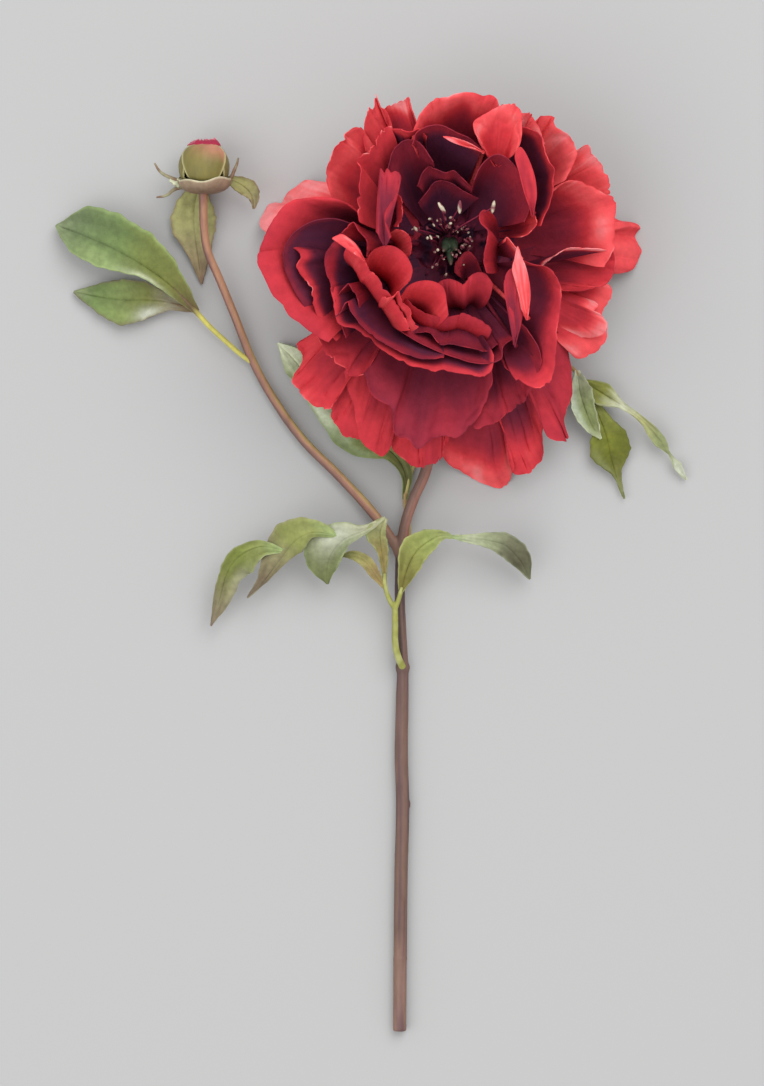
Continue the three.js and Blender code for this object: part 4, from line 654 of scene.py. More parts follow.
def anther_colour(point):
    """Cream with maroon patches, paler at the left and on the longest stamens."""
    pale = noise.noise(point * 0.6) + 0.012 * (STAMEN_FOOT.x - point.x)
    pale += 0.2 * ease(*LONG_TIP_STRETCH, point.z)
    return mix(ANTHER_MAROON, ANTHER_CREAM, ease(0.0, 0.3, pale))


thread_parts, anther_parts = [], []
for k in range(STAMEN_COUNT):
    angle = k * GOLDEN_ANGLE + 1.4 * (chance(k + 20) - 0.5)
    lean = 0.5 + 8 * chance(k + 40) ** 1.3
    height = 5 + 13 * chance(k + 80)
    foot = 3.6 + 2.4 * chance(k + 120)
    twist = 1.2 * (chance(k + 160) - 0.5)
    crowd = 0.5 + 0.5 * math.cos(angle - CROWDED_SIDE)
    tip = in_ring(angle + twist, foot + lean * (0.5 + 0.7 * crowd), height)
    breadth = 0.4 + 0.25 * chance(k + 180)
    length = 0.8 + 1.0 * chance(k + 200)
    tilt = 2.2 * (chance(k + 240) - 0.5)
    if k in LONG_STAMENS:
        tip = STAMEN_FOOT + Vector(LONG_STAMENS[k])
        angle = math.atan2(tip.y - STAMEN_FOOT.y, tip.x - STAMEN_FOOT.x) + 0.5 * math.sin(k)
        breadth, length, tilt = LONG_ANTHER
    start = in_ring(angle, foot, -1)
    bend = in_ring(angle + twist * 0.6, foot + lean * 0.25, height * 0.5)
    thread_parts.append(wire("thread", [start, bend, tip], THREAD_RADII, sides=0, steps=4))
    bpy.ops.object.select_all(action="DESELECT")
    bpy.ops.mesh.primitive_uv_sphere_add(
        segments=8, ring_count=6, radius=MM, location=tip * MM, scale=(breadth, breadth, length),
        rotation=(0.9 * (chance(k + 280) - 0.5), tilt, angle))
    anther_parts.append(bpy.context.object)
threads = joined("stamen_threads", thread_parts)
bpy.ops.object.shade_smooth()
dyed(threads, lambda point: mix(THREAD_DARK, THREAD_MAROON, ease(*THREAD_MAROON_STRETCH, point.z)))
anthers = joined("stamen_anthers", anther_parts)
bpy.ops.object.shade_smooth()
dyed(anthers, anther_colour)
stamen_finish = finish_from_dye(
    "stamen_finish", roughness=0.5, streaks=(900, 900, 900), streak_strength=0.25, bump=0.3, grain=1500)
settle(threads, "stamens", stamen_finish)
settle(anthers, "stamens", stamen_finish)

# Carpels -----------------------------------------------------------------------------------------
# Three flasks moulded in soft plastic, dark green with a maroon crest. They are pushed into the very
# middle of the core, and the stamens stand round them.
CARPEL_COUNT = 3
FLASK_AXIS = [(1.6, -1), (2, 4), (2.8, 9), (3.8, 12.5)]    # distance from the middle, and height
FLASK_RADII = [1.5, 2.1, 1.3, 0.5]
FLASK_LEAN = 0.44        # how far the three lean down the stem, for each millimetre of height
CREST_STRETCH = (45, 50)    # the heights between which a flask turns from green to maroon
CARPEL_GREEN, CARPEL_CREST = (0.05, 0.075, 0.045), (0.14, 0.05, 0.05)


def flask_place(angle, radius, height):
    """A place on a flask's axis: the three stand in an oval ring and lean together."""
    across = 0.8 * radius * math.cos(angle)
    return STAMEN_FOOT + Vector((across, radius * math.sin(angle) - FLASK_LEAN * height, height))


flasks = []
for k in range(CARPEL_COUNT):
    angle = 0.6 + k * 2 * math.pi / CARPEL_COUNT
    axis = [flask_place(angle, radius, height) for radius, height in FLASK_AXIS]
    flasks.append(wire("flask", axis, FLASK_RADII, sides=4, steps=8))
carpels = fused(joined("carpel_flasks", flasks), grain=0.3)
dyed(carpels, lambda point: mix(CARPEL_GREEN, CARPEL_CREST, ease(*CREST_STRETCH, point.z)))
settle(carpels, "carpels", finish_from_dye(
    "carpel_finish", roughness=0.45, streaks=(500, 500, 120), streak_strength=0.3, bump=0.4, grain=900))

# Sepals under the bloom --------------------------------------------------------------------------
# Five sepals of thick olive cloth, pressed to shape. They are threaded on to the neck by a plastic
# ring and glued under the lowest petals.
SEPAL_COUNT = 5
SEPAL_SPINE = [(4, -4.4), (11, -4), (20, -2), (28, -2.4)]    # distance from the neck's axis, and height
SEPAL_THICKNESS = 0.6
NECK_RING_RADIUS, NECK_RING_WIRE, NECK_RING_DROP = 4, 1.4, 4.4
SEPAL_GREEN, SEPAL_BROWN = (0.13, 0.16, 0.045), (0.14, 0.075, 0.05)
FINE_STEPS, EVEN_STEPS = 240, 120    # a line is measured in fine steps, and then cut into even ones
sepal_finish = finish_from_dye(
    "sepal_cloth", roughness=0.6, streaks=(300, 300, 300), streak_strength=0.2, bump=0.5, grain=700,
    sheen=0.04, specular=0.2)


def even_steps(points):
    """Places at even distances along a smooth line through the points, and its length."""
    line = [along(points, k / FINE_STEPS) for k in range(FINE_STEPS + 1)]
    reach = [0.0]
    for a, b in zip(line, line[1:]):
        reach.append(reach[-1] + (b - a).length)
    steps, low = [], 0
    for k in range(EVEN_STEPS + 1):
        goal = reach[-1] * k / EVEN_STEPS
        while low < FINE_STEPS - 1 and reach[low + 1] < goal:
            low += 1
        share = (goal - reach[low]) / (reach[low + 1] - reach[low])
        steps.append(line[low].lerp(line[low + 1], share))
    return steps, reach[-1]


def shell_place(azimuth, spine, width, cup, ruffle, waves, seed, torn=1.0):
    """The function that gives a shell-shaped sheet's point for u from -1 to 1 across and v along it.

    Its spine goes out from an upright axis at the azimuth, and cup is the angle that its width bends
    through. Torn says how ragged its edge is."""
    steps, length = even_steps(spine)
    phase = [chance(seed * 7 + k) * 2 * math.pi for k in range(11)]
    notches = [(1.6 * chance(seed * 13 + k) - 0.8, 0.02 + 0.045 * chance(seed * 17 + k)) for k in range(4)]
    bend = math.radians(cup) / width
    turn = math.radians(azimuth)

    def place(u, v):
        side = abs(u)
        reach = (1 - 0.20 * side ** 3.5 + 0.030 * math.sin(u * 3.4 + phase[0])
                 + 0.018 * math.sin(u * 8 + phase[1]))
        for middle, depth in notches:
            reach -= torn * depth * max(1 - abs(u - middle) / 0.06, 0)
        reach += torn * (0.007 * math.sin(u * 23 + phase[2]) * math.sin(u * 5 + phase[7])
                         + 0.006 * math.sin(u * 47 + phase[3]) + 0.004 * math.sin(u * 89 + phase[10]))
        ell = v * reach
        at = min(max(ell, 0), 1) * (len(steps) - 1)
        low = min(int(at), len(steps) - 2)
        ahead = (steps[low + 1] - steps[low]).normalized()
        point = steps[low].lerp(steps[low + 1], at - low) + ahead * max(ell - 1, 0) * length
        half = width / 2 * (0.20 + 0.80 * math.sin(min(ell / 0.66, 1) * math.pi / 2) ** 1.15)
        half *= 1 - 0.16 * min(max((ell - 0.66) / 0.34, 0), 1) ** 2
        half *= 1 + torn * 0.012 * math.sin(ell * 31 + phase[8]) * side
        curve = u * half * bend
        across, raised = math.sin(curve) / bend, (1 - math.cos(curve)) / bend
        edge = ell ** 1.6 * (0.25 + 0.75 * side ** 1.5)
        wave = ruffle * edge * (math.sin(u * waves * 1.9 + phase[4] + ell * 2)
                                + 0.5 * math.sin(ell * waves * 3.1 * math.copysign(1, u) + phase[5]))
        wave += 0.3 * ruffle * ell ** 3 * math.sin(u * waves * 5 + phase[6])
        wave += torn * 0.30 * ell ** 4 * math.sin(u * 19 + phase[9] + 3 * ell)
        crease = noise.noise(Vector((u * half / 9, ell * length / 13, seed * 3.7)))
        wave += torn * 1.3 * crease * ease(0.15, 0.6, ell)
        inward = raised + wave
        radius = point.x - ahead.y * inward
        height = point.y + ahead.x * inward
        return Vector((radius * math.cos(turn) - across * math.sin(turn),
                       radius * math.sin(turn) + across * math.cos(turn), height))

    return place


for k in range(SEPAL_COUNT):
    azimuth = 360 * (k + 0.5) / SEPAL_COUNT
    surface = shell_place(azimuth, SEPAL_SPINE, width=17, cup=34, ruffle=0.5, waves=2, seed=50 + k)
    sepal = pressed_sheet(
        f"bloom_sepal_{k + 1}", lambda u, v: surface(u, v) + BLOOM_CENTRE,
        lambda u, v: mix(SEPAL_GREEN, SEPAL_BROWN, ease(0.7, 1, max(v, abs(u)))),
        columns=24, rows=28, thickness=SEPAL_THICKNESS)
    settle(sepal, "bloom_sepals", sepal_finish)
bpy.ops.object.select_all(action="DESELECT")
bpy.ops.mesh.primitive_torus_add(
    major_radius=NECK_RING_RADIUS * MM, minor_radius=NECK_RING_WIRE * MM, major_segments=32,
    minor_segments=12, location=(BLOOM_CENTRE + Vector((0, 0, -NECK_RING_DROP))) * MM)
ring = joined("bloom_sepal_ring", [bpy.context.object])
bpy.ops.object.shade_smooth()
dyed(ring, lambda point: SEPAL_GREEN)
settle(ring, "bloom_sepals", sepal_finish)

# Bud ---------------------------------------------------------------------------------------------
# A stuffed ball wrapped in four overlapping olive petals with a pink blush. Crimson tips of the inner
# petals show where they close at the top.
BUD_CENTRE = Vector((-66.2, 158.2, 13.6))
BALL_RADIUS = 8.7
BALL_CRIMSON_STRETCH = (164, 166)    # where the ball turns crimson along y, under the petals' tips
BUD_PETALS = {    # the azimuth, size, seed and blush of each
    "bud_petal_back": (90, 10.2, 64, 0.1), "bud_petal_right": (8, 9.8, 62, 0.2),
    "bud_petal_left": (172, 9.9, 63, 0.1), "bud_petal_front": (-90, 10.3, 61, 0.9)}
BUD_PETAL_THICKNESS = 0.5
TIP_AZIMUTHS = (-120, -60, -95, 20, 150)
TIP_SPINE = [(4.5, 5), (6.2, 8.2), (5.2, 9.8), (3.4, 10.6)]    # distance from the bud's axis, and height
TIP_THICKNESS = 0.4
OLIVE = (0.18, 0.155, 0.047)
PALE_EDGE = (0.50, 0.46, 0.23)
BLUSH = (0.47, 0.20, 0.13)
CRIMSON = (0.33, 0.015, 0.05)
TIP_PINK = (0.55, 0.16, 0.2)
bud_finish = finish_from_dye(
    "bud_cloth", roughness=0.5, streaks=(250, 90, 250), streak_strength=0.15, bump=0.35, grain=800,
    sheen=0.04, specular=0.25)


def on_bud(point):
    """Turns a point round an upright axis so that the axis runs along the bud's branch."""
    return Vector((point.x, point.z, -point.y)) + BUD_CENTRE


ball = joined("bud_ball", [swelling(BUD_CENTRE, (BALL_RADIUS, BALL_RADIUS, BALL_RADIUS))])
bpy.ops.object.shade_smooth()
dyed(ball, lambda point: mix(OLIVE, CRIMSON, ease(*BALL_CRIMSON_STRETCH, point.y)))
settle(ball, "bud_petals", bud_finish)
for name, (azimuth, size, seed, blush) in BUD_PETALS.items():
    spine = [(2, -7.4), (size * 0.85, -size * 0.56), (size, size * 0.12), (size * 0.72, size * 0.74),
             (2.2, size * 0.98)]
    surface = shell_place(azimuth, spine, width=20, cup=108, ruffle=0.2, waves=2, seed=seed, torn=0.25)

    def paint(u, v):
        warm = mix(OLIVE, BLUSH, blush * ease(0.5, 0.85, v) * ease(-0.9, 0.5, u))
        return mix(warm, PALE_EDGE, ease(0.86, 1, max(v, abs(u))))

    wrap = pressed_sheet(
        name, lambda u, v: on_bud(surface(u, v)), paint, columns=40, rows=36, thickness=BUD_PETAL_THICKNESS)
    settle(wrap, "bud_petals", bud_finish)
for k, azimuth in enumerate(TIP_AZIMUTHS):
    surface = shell_place(azimuth, TIP_SPINE, width=8, cup=60, ruffle=0.7, waves=3, seed=70 + k)
    tip = pressed_sheet(
        f"bud_tip_{k + 1}", lambda u, v: on_bud(surface(u, v)),
        lambda u, v: mix(CRIMSON, TIP_PINK, ease(0.8, 1, v)), columns=20, rows=20, thickness=TIP_THICKNESS)
    settle(tip, "bud_petals", bud_finish)

# Calyx of the bud --------------------------------------------------------------------------------
# A cup of olive cloth that holds the bud, with a pale lip, a long bract hanging back under the
# branch, broad ones at the sides and thin curled strands, all glued round the branch's end.
LEAF_THICKNESS = 0.5     # of the bracts, and of all leaflets
VEIN_DEPTH = 0.35
CUP_WALL = [(1.8, -10.5), (4.8, -10.3), (8.2, -9.2), (10, -7.4), (10.6, -5.2)]    # radius, and height
BRACT_OLIVE = (0.33, 0.33, 0.125)
BRACT_BROWN = (0.20, 0.125, 0.08)
LIP_PINK = (0.28, 0.20, 0.135)
LIP_CREAM = (0.62, 0.58, 0.40)
STRAND_STRAW = (0.30, 0.29, 0.17)


def rib_gap(u, v):
    """How far a leaf's point is from the nearest side vein, as a share of the gap between two."""
    return (v * 8 - abs(u) * 1.1) % 1.0 - 0.5


def leaf_place(spine, left, right, fold, wave, seed):
    """The function that gives a leaf's point for u from -1 at its left edge to 1 at its right."""
    lift = math.radians(fold)
    rows = {}

    def row(v):
        if v not in rows:
            ahead = (along(spine, min(v + 0.01, 1)) - along(spine, max(v - 0.01, 0))).normalized()
            side = Vector((0, 0, 1)).cross(ahead).normalized()
            widths = [max(along([(w, 0) for w in edge], v).x, 0.15) for edge in (left, right)]
            rows[v] = (along(spine, v), side, ahead.cross(side), widths)
        return rows[v]

    def place(u, v):
        point, side, face, widths = row(v)
        reach = widths[u > 0] * abs(u)
        reach *= 1 + 0.025 * abs(u) * math.sin(v * 37 + seed) + 0.02 * abs(u) * math.sin(v * 71 + seed * 2)
        ripple = wave * abs(u) ** 1.5 * math.sin(v * 11 + (0 if u < 0 else 2) + chance(seed) * 6)
        ripple += 0.35 * abs(u) ** 3 * math.sin(v * 34 + seed * 3 + math.copysign(1, u))
        broad = min(widths[u > 0] / 4, 1)
        groove = -VEIN_DEPTH * math.exp(-(u / 0.07) ** 2) * broad
        groove -= 0.45 * VEIN_DEPTH * math.exp(-(rib_gap(u, v) / 0.10) ** 2) * (1 - abs(u) ** 3) * broad
        groove += 0.5 * noise.noise(Vector((u * 2.2, v * 6, seed * 5.1))) * broad
        return point - side * math.copysign(reach * math.cos(lift), u) + face * (
            reach * math.sin(lift) + ripple + groove)

    return place


def tinted(tints, edge, patches, seed):
    """The function that paints a leaf with tints from base to tip, an edge tint and soft patches."""
    def paint(u, v):
        mottle = 0.05 * noise.noise(Vector((u * 3, v * 7, seed * 2.3)))
        at = min(max(v + mottle, 0), 1) * (len(tints) - 1)
        low = min(int(at), len(tints) - 2)
        colour = mix(tints[low], tints[low + 1], at - low)
        for patch_u, patch_v, width, length, tint, strength in patches:
            far = ((u - patch_u) / width) ** 2 + ((v - patch_v) / length) ** 2
            colour = mix(colour, tint, strength * math.exp(-far))
        colour = mix(colour, edge, 0.55 * ease(0.84, 1, abs(u)))
        vein = 0.5 * math.exp(-(u / 0.035) ** 2)
        vein += 0.16 * math.exp(-(rib_gap(u, v) / 0.07) ** 2) * (1 - abs(u) ** 2)
        light = 1 + 0.25 * noise.noise(Vector((u * 2.5, v * 5, seed * 1.7)))
        return tuple(light * c for c in mix(colour, tuple(c * 0.55 for c in colour), vein))

    return paint


def around_bud(u, v):
    """The calyx cup's wall: u goes once round it from its upper side and v from its foot to its lip."""
    angle = math.pi / 2 + u * math.pi
    radius, height = along(CUP_WALL, v)
    radius += 0.35 * v ** 2 * math.sin(angle * 3 + 1)
    height += v ** 2 * (0.9 * math.sin(angle * 2 + 2.2) + 0.5 * math.sin(angle * 5))
    return on_bud(Vector((radius * math.cos(angle), radius * math.sin(angle), height)))


cup = pressed_sheet(
    "bud_cup", around_bud,
    lambda u, v: mix(mix(BRACT_BROWN, LIP_PINK, ease(0.3, 0.8, v)), LIP_CREAM, ease(0.90, 1, v)),
    columns=72, rows=20, thickness=SEPAL_THICKNESS)
settle(cup, "bud_sepals", sepal_finish)
# Each bract has its spine, its half widths along it to the left and to the right, the angle of its
# fold, its wave, its seed and its tints from base to tip.
BRACTS = {
    "bud_bract_long": (
        [(-68.6, 151, 6.4), (-70.4, 143, 4.4), (-70.6, 135, 3), (-69.4, 125, 2), (-67.6, 112, 1.2)],
        (3, 8, 8.8, 5.6, 0.3), (3, 7.6, 9.2, 4.4, 0.3), 4, 0.3, 31,
        [BRACT_OLIVE, (0.33, 0.33, 0.13), (0.32, 0.31, 0.13), (0.27, 0.23, 0.12), BRACT_BROWN]),
    "bud_bract_right": (
        [(-58.5, 153.2, 12.8), (-54.3, 152.6, 12.4), (-49.4, 149.6, 11.4), (-47, 146, 10.6),
         (-46.4, 141.6, 10)],
        (1, 2.2, 4.2, 3, 0.3), (1, 2.8, 3.2, 1.6, 0.3), 12, 0.3, 33,
        [(0.26, 0.25, 0.11), (0.25, 0.24, 0.09), (0.24, 0.22, 0.10), (0.20, 0.15, 0.09)]),
    "bud_bract_left": (
        [(-72.5, 151, 14), (-76, 151.8, 14.6), (-80, 153, 14.8)],
        (1.6, 2.2, 0.6), (1.6, 1.8, 0.6), 10, 0.2, 35,
        [(0.40, 0.42, 0.26), (0.48, 0.50, 0.36)])}
for name, (spine, left, right, fold, wave, seed, tints) in BRACTS.items():
    bract = pressed_sheet(
        name, laid(leaf_place(spine, left, right, fold, wave, seed)), tinted(tints, BRACT_BROWN, [], seed),
        columns=28, rows=40, thickness=LEAF_THICKNESS)
    settle(bract, "bud_sepals", sepal_finish)
STRAND_RADII = [0.9, 0.7, 0.35]
STRANDS = [
    [(-74, 152, 14), (-79, 153.6, 14.6), (-83.5, 156, 15), (-86, 159.6, 15.4)],
    [(-73, 150.6, 12), (-78, 149.4, 11.6), (-81.4, 147, 11), (-85.4, 146.2, 10.6)],
    [(-58, 152.2, 14), (-56, 153.2, 14.8), (-54, 157, 15.6), (-53, 159.5, 16), (-52.5, 161.6, 16.4)]]
strands = joined("bud_strands", [wire("strand", route, STRAND_RADII, sides=3) for route in STRANDS])
bpy.ops.object.shade_smooth()
dyed(strands, lambda point: mix(STRAND_STRAW, BRACT_BROWN, ease(-0.3, 0.3, noise.noise(point * 0.3))))
settle(strands, "bud_sepals", sepal_finish)

# Leaf on the bud's branch ------------------------------------------------------------------------
# Two leaflets of printed cloth with pressed veins, glued to a yellow plastic stalk that leaves the
# branch halfway up. The large one arches up and the small one lies low.
YELLOW, BROWN_GREEN, OLIVE_GREEN = (0.50, 0.46, 0.10), (0.13, 0.085, 0.04), (0.15, 0.162, 0.042)
GREEN, BLUE_GREEN, PALE_GREEN = (0.125, 0.18, 0.058), (0.112, 0.156, 0.066), (0.27, 0.35, 0.14)
# the silver is partly a leaflet's silvery underside and partly a painted sheen on its top
SILVER_AND_SHEEN, CREAM, TIP_BROWN = (0.46, 0.48, 0.39), (0.56, 0.60, 0.42), (0.17, 0.13, 0.09)
STALK_BROWN_STRETCH = (-67, -72)    # where this leaf's stalk turns from yellow to brown along x
leaf_finish = finish_from_dye(
    "leaf_cloth", roughness=0.55, streaks=(420, 420, 420), streak_strength=0.16, bump=0.4, grain=1100,
    sheen=0.04, specular=0.2)
stalk_finish = finish_from_dye(
    "leaf_stalk_skin", roughness=0.45, streaks=(300, 300, 300), streak_strength=0.18, bump=0.25, grain=700)


def leaflets(node, forms):
    """Makes the leaflets of one leaf.

    Each has its spine, its half widths along it to the left and to the right, the angle of its fold,
    its wave, its seed, its tints from base to tip, its edge's tint and its patches. A patch has its
    place and size across and along the leaflet, its tint and its strength."""
    for name, (spine, left, right, fold, wave, seed, tints, edge, patches) in forms.items():
        blade = pressed_sheet(
            name, laid(leaf_place(spine, left, right, fold, wave, seed)), tinted(tints, edge, patches, seed),
            columns=44, rows=72, thickness=LEAF_THICKNESS)
        settle(blade, node, leaf_finish)


def stalks(name, node, routes, colour_at):
    """The plastic stalk of one leaf, from routes with their radii."""
    rods = [wire("stalk", route, radii, sides=4, steps=8) for route, radii in routes]
    stalk = fused(joined(name, rods), grain=0.3)
    dyed(stalk, colour_at)
    settle(stalk, node, stalk_finish)


stalks("bud_leaf_stalk", "leaf_bud_branch", [
    ([(-46, 79.5, 3.9), (-51, 83, 4), (-58, 89, 4.6), (-64, 94.5, 5.2), (-70, 101, 5.6)], [1.0, 1.1]),
    ([(-69.5, 100.5, 5.6), (-78.9, 110.2, 8.2)], [1.0, 0.5]),
    ([(-69.5, 101, 5.2), (-80, 104.5, 4.0)], [1.0, 0.4])],
    lambda point: mix(YELLOW, BROWN_GREEN, ease(*STALK_BROWN_STRETCH, point.x)))
leaflets("leaf_bud_branch", {
    "bud_leaflet_large": (
        [(-69.5, 100.5, 5.6), (-78.9, 110.2, 8.5), (-89.6, 118.2, 11), (-102.2, 125.4, 11),
         (-115.4, 131.4, 7.5), (-126, 135.4, 3.5)],
        (1, 3.5, 4.7, 9, 8.5, 0.4), (1.4, 6.3, 11.7, 13.5, 12, 0.4), 14, 0.8, 3,
        [BROWN_GREEN, OLIVE_GREEN, (0.15, 0.178, 0.045), GREEN, BLUE_GREEN, (0.20, 0.24, 0.13)],
        PALE_GREEN, [(-0.95, 0.38, 0.3, 0.13, CREAM, 0.8), (-0.7, 0.65, 0.4, 0.2, PALE_GREEN, 0.6)]),
    "bud_leaflet_small": (
        [(-69.5, 101, 5.2), (-80, 104.5, 4.2), (-90, 105.5, 4), (-100, 105.5, 3.8), (-110, 107, 3),
         (-119, 108.8, 2)],
        (0.8, 3.5, 8, 10, 5.5, 0.3), (0.8, 2.5, 7, 8.3, 5, 0.3), 8, 0.6, 5,
        [BROWN_GREEN, (0.22, 0.20, 0.13), OLIVE_GREEN, (0.17, 0.22, 0.07), GREEN, (0.20, 0.23, 0.12)],
        TIP_BROWN, [(-0.75, 0.38, 0.35, 0.10, SILVER_AND_SHEEN, 0.9)])})

# Lower leaf --------------------------------------------------------------------------------------
# Its green-yellow stalk springs from the swelling on the stem, crosses over it and forks. Seven
# leaflets of printed cloth arch over and droop, with a silver bloom on top, partly a painted sheen, and
# browned tips.
LOWER_STALK_GREEN, LOWER_STALK_PALE = (0.26, 0.265, 0.055), (0.36, 0.37, 0.13)
stalks("lower_leaf_stalk", "leaf_lower", [
    ([(13.2, -42, 5), (11.4, -38, 7.6), (10.2, -33, 8.9), (10.1, -24, 9.8), (10, -17.5, 10.6)], [1.5, 1.2]),
    ([(10, -18.5, 10.5), (7.5, -14, 11.5), (6, -9, 12.3), (5.8, -4, 13.2)], [1.1, 0.9]),
    ([(10, -18.5, 10.5), (11.6, -14, 11.4), (12.8, -9.5, 12.4)], [1.1, 0.9])],
    lambda point: mix(LOWER_STALK_GREEN, LOWER_STALK_PALE, ease(-0.3, 0.4, noise.noise(point * 0.25))))
leaflets("leaf_lower", {
    "lower_leaflet_folded": (
        [(5.8, -4, 13.2), (4.6, 5, 15.6), (4.2, 12, 17), (6, 18, 18)],
        (1, 2.2, 6.5, 1.5), (1, 3, 2.4, 1), 25, 0.2, 7,
        [(0.25, 0.20, 0.07), (0.23, 0.185, 0.065), (0.25, 0.25, 0.10), (0.36, 0.36, 0.20)], PALE_GREEN, []),
    "lower_leaflet_middle": (
        [(6, 18, 18), (-2, 13, 20.5), (-10, 9.5, 21.5), (-15, 4, 19.5), (-17, -2, 16), (-17, -8.4, 12.5)],
        (0.6, 1.5, 3, 4.5, 3.8, 0.4), (0.6, 2.5, 8, 12, 9, 0.4), -14, 0.6, 9,
        [(0.38, 0.38, 0.22), (0.36, 0.37, 0.24), (0.33, 0.35, 0.24), (0.24, 0.26, 0.13), (0.155, 0.175, 0.07),
         (0.125, 0.14, 0.05)], PALE_GREEN,
        # this silver patch is a painted sheen on the leaflet's top
        [(0.35, 0.5, 0.5, 0.18, SILVER_AND_SHEEN, 0.6), (-0.6, 0.5, 0.5, 0.3, (0.16, 0.20, 0.08), 0.6)]),
    "lower_leaflet_next": (
        [(-13, 11, 20.5), (-23, 12, 21), (-30, 8.5, 20.5), (-36, 1, 18), (-42, -7, 14.5), (-49, -13.8, 11)],
        (1, 2, 5, 2.6, 1, 0.2), (1.5, 6, 9.5, 8, 3.5, 0.2), -12, 0.6, 11,
        [PALE_GREEN, (0.22, 0.24, 0.075), (0.19, 0.21, 0.06), (0.22, 0.20, 0.10), (0.13, 0.10, 0.06),
         TIP_BROWN], (0.26, 0.24, 0.14), []),
    "lower_leaflet_outer": (
        [(-34, 5, 18.8), (-44, 6.6, 18.5), (-53, 2, 17), (-57.5, -5, 14.8), (-60, -14, 11.8),
         (-63.6, -25.2, 9)],
        (0.8, 5, 8.5, 6.5, 4.7, 0.2), (0.6, 2.6, 4, 3, 2.7, 0.2), -14, 0.5, 13,
        [PALE_GREEN, (0.19, 0.215, 0.065), (0.15, 0.18, 0.035), (0.145, 0.16, 0.04), (0.20, 0.18, 0.095),
         TIP_BROWN], (0.30, 0.30, 0.20), [(-0.8, 0.55, 0.4, 0.2, (0.36, 0.35, 0.24), 0.6)]),
    "lower_leaflet_small": (
        [(5.8, -10, 12), (1.5, -4, 13.6), (-2, 0.5, 14.2), (-7, 3, 13.8), (-12, 2.8, 12.4)],
        (0.5, 2, 2.2, 1.6, 0.2), (0.5, 2.5, 2.8, 2, 0.2), 16, 0.3, 15,
        [(0.28, 0.21, 0.075), (0.25, 0.185, 0.075), (0.27, 0.24, 0.085), (0.23, 0.225, 0.075),
         (0.16, 0.165, 0.07)], (0.36, 0.33, 0.14), []),
    "lower_leaflet_right": (
        [(12.4, -11, 12.2), (15, -2, 14.4), (18.5, 4.5, 16), (24, 9, 17), (29, 11, 16.6), (33.4, 10.3, 15.6)],
        (1, 4, 7, 5, 2, 0.5), (1, 4.6, 5, 4, 1.8, 0.5), 14, 0.5, 17,
        [(0.15, 0.13, 0.03), (0.17, 0.165, 0.04), (0.24, 0.26, 0.07), (0.25, 0.29, 0.085), (0.27, 0.30, 0.11),
         PALE_GREEN], (0.38, 0.40, 0.16), []),
    "lower_leaflet_right_end": (
        [(32.6, 10.5, 15.8), (40, 9.8, 16.2), (47, 9, 16.6), (54, 7, 15.8), (60, 1, 12.8), (64, -6.4, 9)],
        (0.5, 1.8, 3.3, 5, 5, 0.4), (0.5, 2, 3, 4.6, 3.6, 0.4), -10, 0.5, 19,
        [PALE_GREEN, (0.37, 0.40, 0.26), (0.28, 0.31, 0.18), (0.15, 0.155, 0.09), (0.085, 0.08, 0.045),
         (0.12, 0.125, 0.07)], (0.30, 0.33, 0.22), [])})

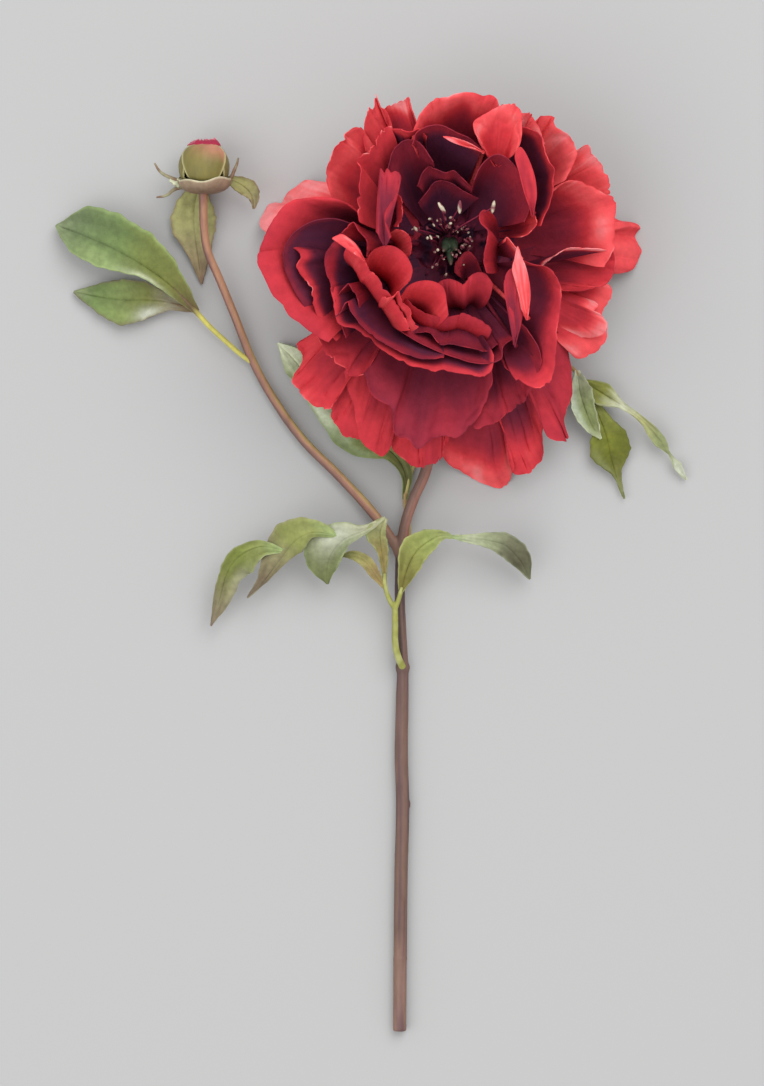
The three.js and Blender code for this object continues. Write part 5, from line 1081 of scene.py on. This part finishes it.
# Upper leaf --------------------------------------------------------------------------------------
# It lies flat on the surface under the bloom, on two stalks that part below the neck: one long
# leaflet on the left, and three that come out from under the petals on the right.
UPPER_STALK_BROWN, UPPER_STALK_STRAW = (0.36, 0.24, 0.10), (0.42, 0.38, 0.13)
stalks("upper_leaf_stalk", "leaf_upper", [
    ([(13.4, 3, 3.2), (15.3, 9, 2.1), (15.4, 16, 1.7), (14.2, 23, 1.9), (14, 28, 2.4)], [1, 1]),
    ([(14, 26, 2.2), (18, 40, 2.4), (33, 60, 3), (60, 76, 4.4), (79, 79, 6), (86, 72, 6.4)], [1, 0.9])],
    lambda point: mix(UPPER_STALK_BROWN, UPPER_STALK_STRAW, ease(-0.4, 0.4, noise.noise(point * 0.2))))
leaflets("leaf_upper", {
    "upper_leaflet_left": (
        [(14, 25.5, 2.4), (14, 36, 3.2), (8, 45, 3.8), (-4, 51, 4.2), (-13, 60, 4.4), (-22, 71, 4.2),
         (-30, 81, 3.8), (-37, 88.3, 2.8)],
        (1, 1.8, 4.2, 8.5, 8, 6, 5.5, 0.3), (1, 3, 5, 7, 8, 8, 5.5, 0.3), 8, 0.5, 21,
        [(0.10, 0.11, 0.032), (0.13, 0.14, 0.043), (0.18, 0.20, 0.06), (0.21, 0.28, 0.10), (0.22, 0.28, 0.11),
         (0.31, 0.37, 0.20), (0.60, 0.66, 0.48)], PALE_GREEN,
        # the pale mint patch at two thirds of its length is a painted highlight, kept bright where the bloom
        # shades it
        [(0.3, 0.9, 0.9, 0.12, CREAM, 0.7), (-0.7, 0.62, 0.5, 0.09, (0.80, 0.92, 0.66), 0.95),
         (-0.5, 0.47, 0.35, 0.03, (0.36, 0.44, 0.26), 0.8),
         (-0.75, 0.4, 0.2, 0.05, (0.30, 0.38, 0.20), 0.7)]),
    "upper_leaflet_pale": (
        [(83, 77, 6.2), (84, 69, 8), (86, 62, 8), (89, 55, 7), (92.5, 49.7, 6)],
        (1, 5, 4.5, 3, 0.3), (1, 4, 5.5, 3.5, 0.3), 22, 0.5, 23,
        [CREAM, (0.25, 0.28, 0.15), (0.21, 0.25, 0.10), (0.19, 0.22, 0.085), (0.34, 0.37, 0.22)], CREAM,
        [(0.8, 0.45, 0.35, 0.35, (0.46, 0.52, 0.40), 0.8)]),
    "upper_leaflet_broad": (
        [(86, 72, 6), (92, 58, 4.6), (95, 50, 4.6), (96.5, 43, 4.2), (98.5, 36, 3), (102, 25.8, 1.6)],
        (1, 4, 8, 8, 2.6, 0.2), (1, 3.5, 7, 7.5, 1.6, 0.2), 8, 0.6, 25,
        [(0.24, 0.26, 0.08), (0.185, 0.20, 0.04), (0.135, 0.15, 0.016), (0.115, 0.125, 0.014),
         (0.13, 0.135, 0.03), (0.25, 0.27, 0.13)], (0.12, 0.13, 0.03),
        [(0.75, 0.7, 0.3, 0.2, (0.18, 0.20, 0.08), 0.7)]),
    "upper_leaflet_far": (
        [(85, 73, 6.2), (93, 68, 7), (101, 63, 7), (109, 57.5, 6), (116, 49.5, 5), (120, 43.8, 4),
         (123.5, 38.5, 3), (127, 33.4, 2)],
        (1, 4.5, 1.6, 1.2, 2.4, 0.5, 1.8, 0.2), (1, 5, 1.5, 1.5, 3, 0.5, 1.6, 0.2), 14, 0.4, 27,
        [(0.20, 0.215, 0.045), (0.18, 0.19, 0.035), (0.46, 0.48, 0.34), (0.33, 0.33, 0.14),
         (0.22, 0.25, 0.11), (0.20, 0.22, 0.10), (0.46, 0.49, 0.38), (0.42, 0.45, 0.34)],
        (0.34, 0.36, 0.2), [])})

# Surface, light and camera -----------------------------------------------------------------------
# A plain pale grey sheet under the stem, two large soft lamps and an even sky, and a camera that
# looks straight down from where the picture was taken.
FLOOR_GREY = 0.422
FLOOR_SIZE = 6           # in metres, as are the other lengths of this section
FLOOR_DROP = 0.0002      # so that what lies on the surface doesn't share its plane
LAMP_SIZE = 2.6
KEY_POWER, FILL_POWER = 68, 34
LIT_SPOT = Vector((0, 0.05, 0))
SKY_STRENGTH = 0.79
FRAME_LENGTH = 0.4344    # from the frame's top edge to its bottom, at the stem's height
bpy.ops.object.select_all(action="DESELECT")
bpy.ops.mesh.primitive_plane_add(size=FLOOR_SIZE, location=(0, 0, -FLOOR_DROP))
floor = bpy.context.object
floor.name = "floor"
paper = bpy.data.materials.new("floor_paper")
paper.use_nodes = True
paper_shader = paper.node_tree.nodes["Principled BSDF"]
paper_shader.inputs["Base Color"].default_value = (FLOOR_GREY, FLOOR_GREY, FLOOR_GREY, 1)
paper_shader.inputs["Roughness"].default_value = 0.9
paper_shader.inputs["Specular IOR Level"].default_value = 0.1
floor.data.materials.append(paper)


def lamp(name, place, power):
    """A large soft lamp that faces the surface between the bloom and the lower leaf."""
    bpy.ops.object.light_add(type="AREA", location=place)
    light = bpy.context.object
    light.name = name
    light.data.size = LAMP_SIZE
    light.data.energy = power
    light.rotation_euler = (LIT_SPOT - Vector(place)).to_track_quat("-Z", "Y").to_euler()


lamp("key_lamp", (0.9, 1.7, 2.7), KEY_POWER)
lamp("fill_lamp", (-1.6, -0.6, 2.6), FILL_POWER)
sky = bpy.data.worlds.new("studio_sky")
sky.use_nodes = True
sky.node_tree.nodes["Background"].inputs["Color"].default_value = (1, 1, 1, 1)
sky.node_tree.nodes["Background"].inputs["Strength"].default_value = SKY_STRENGTH
bpy.context.scene.world = sky
bpy.context.scene.view_settings.view_transform = "Standard"

bpy.ops.object.camera_add(location=EYE * MM, rotation=(0, 0, 0))
camera = bpy.context.object
camera.data.lens = camera.data.sensor_width * EYE_TO_STEM * MM / FRAME_LENGTH
camera.data.clip_start = 0.1
camera.data.clip_end = 20
bpy.context.scene.camera = camera
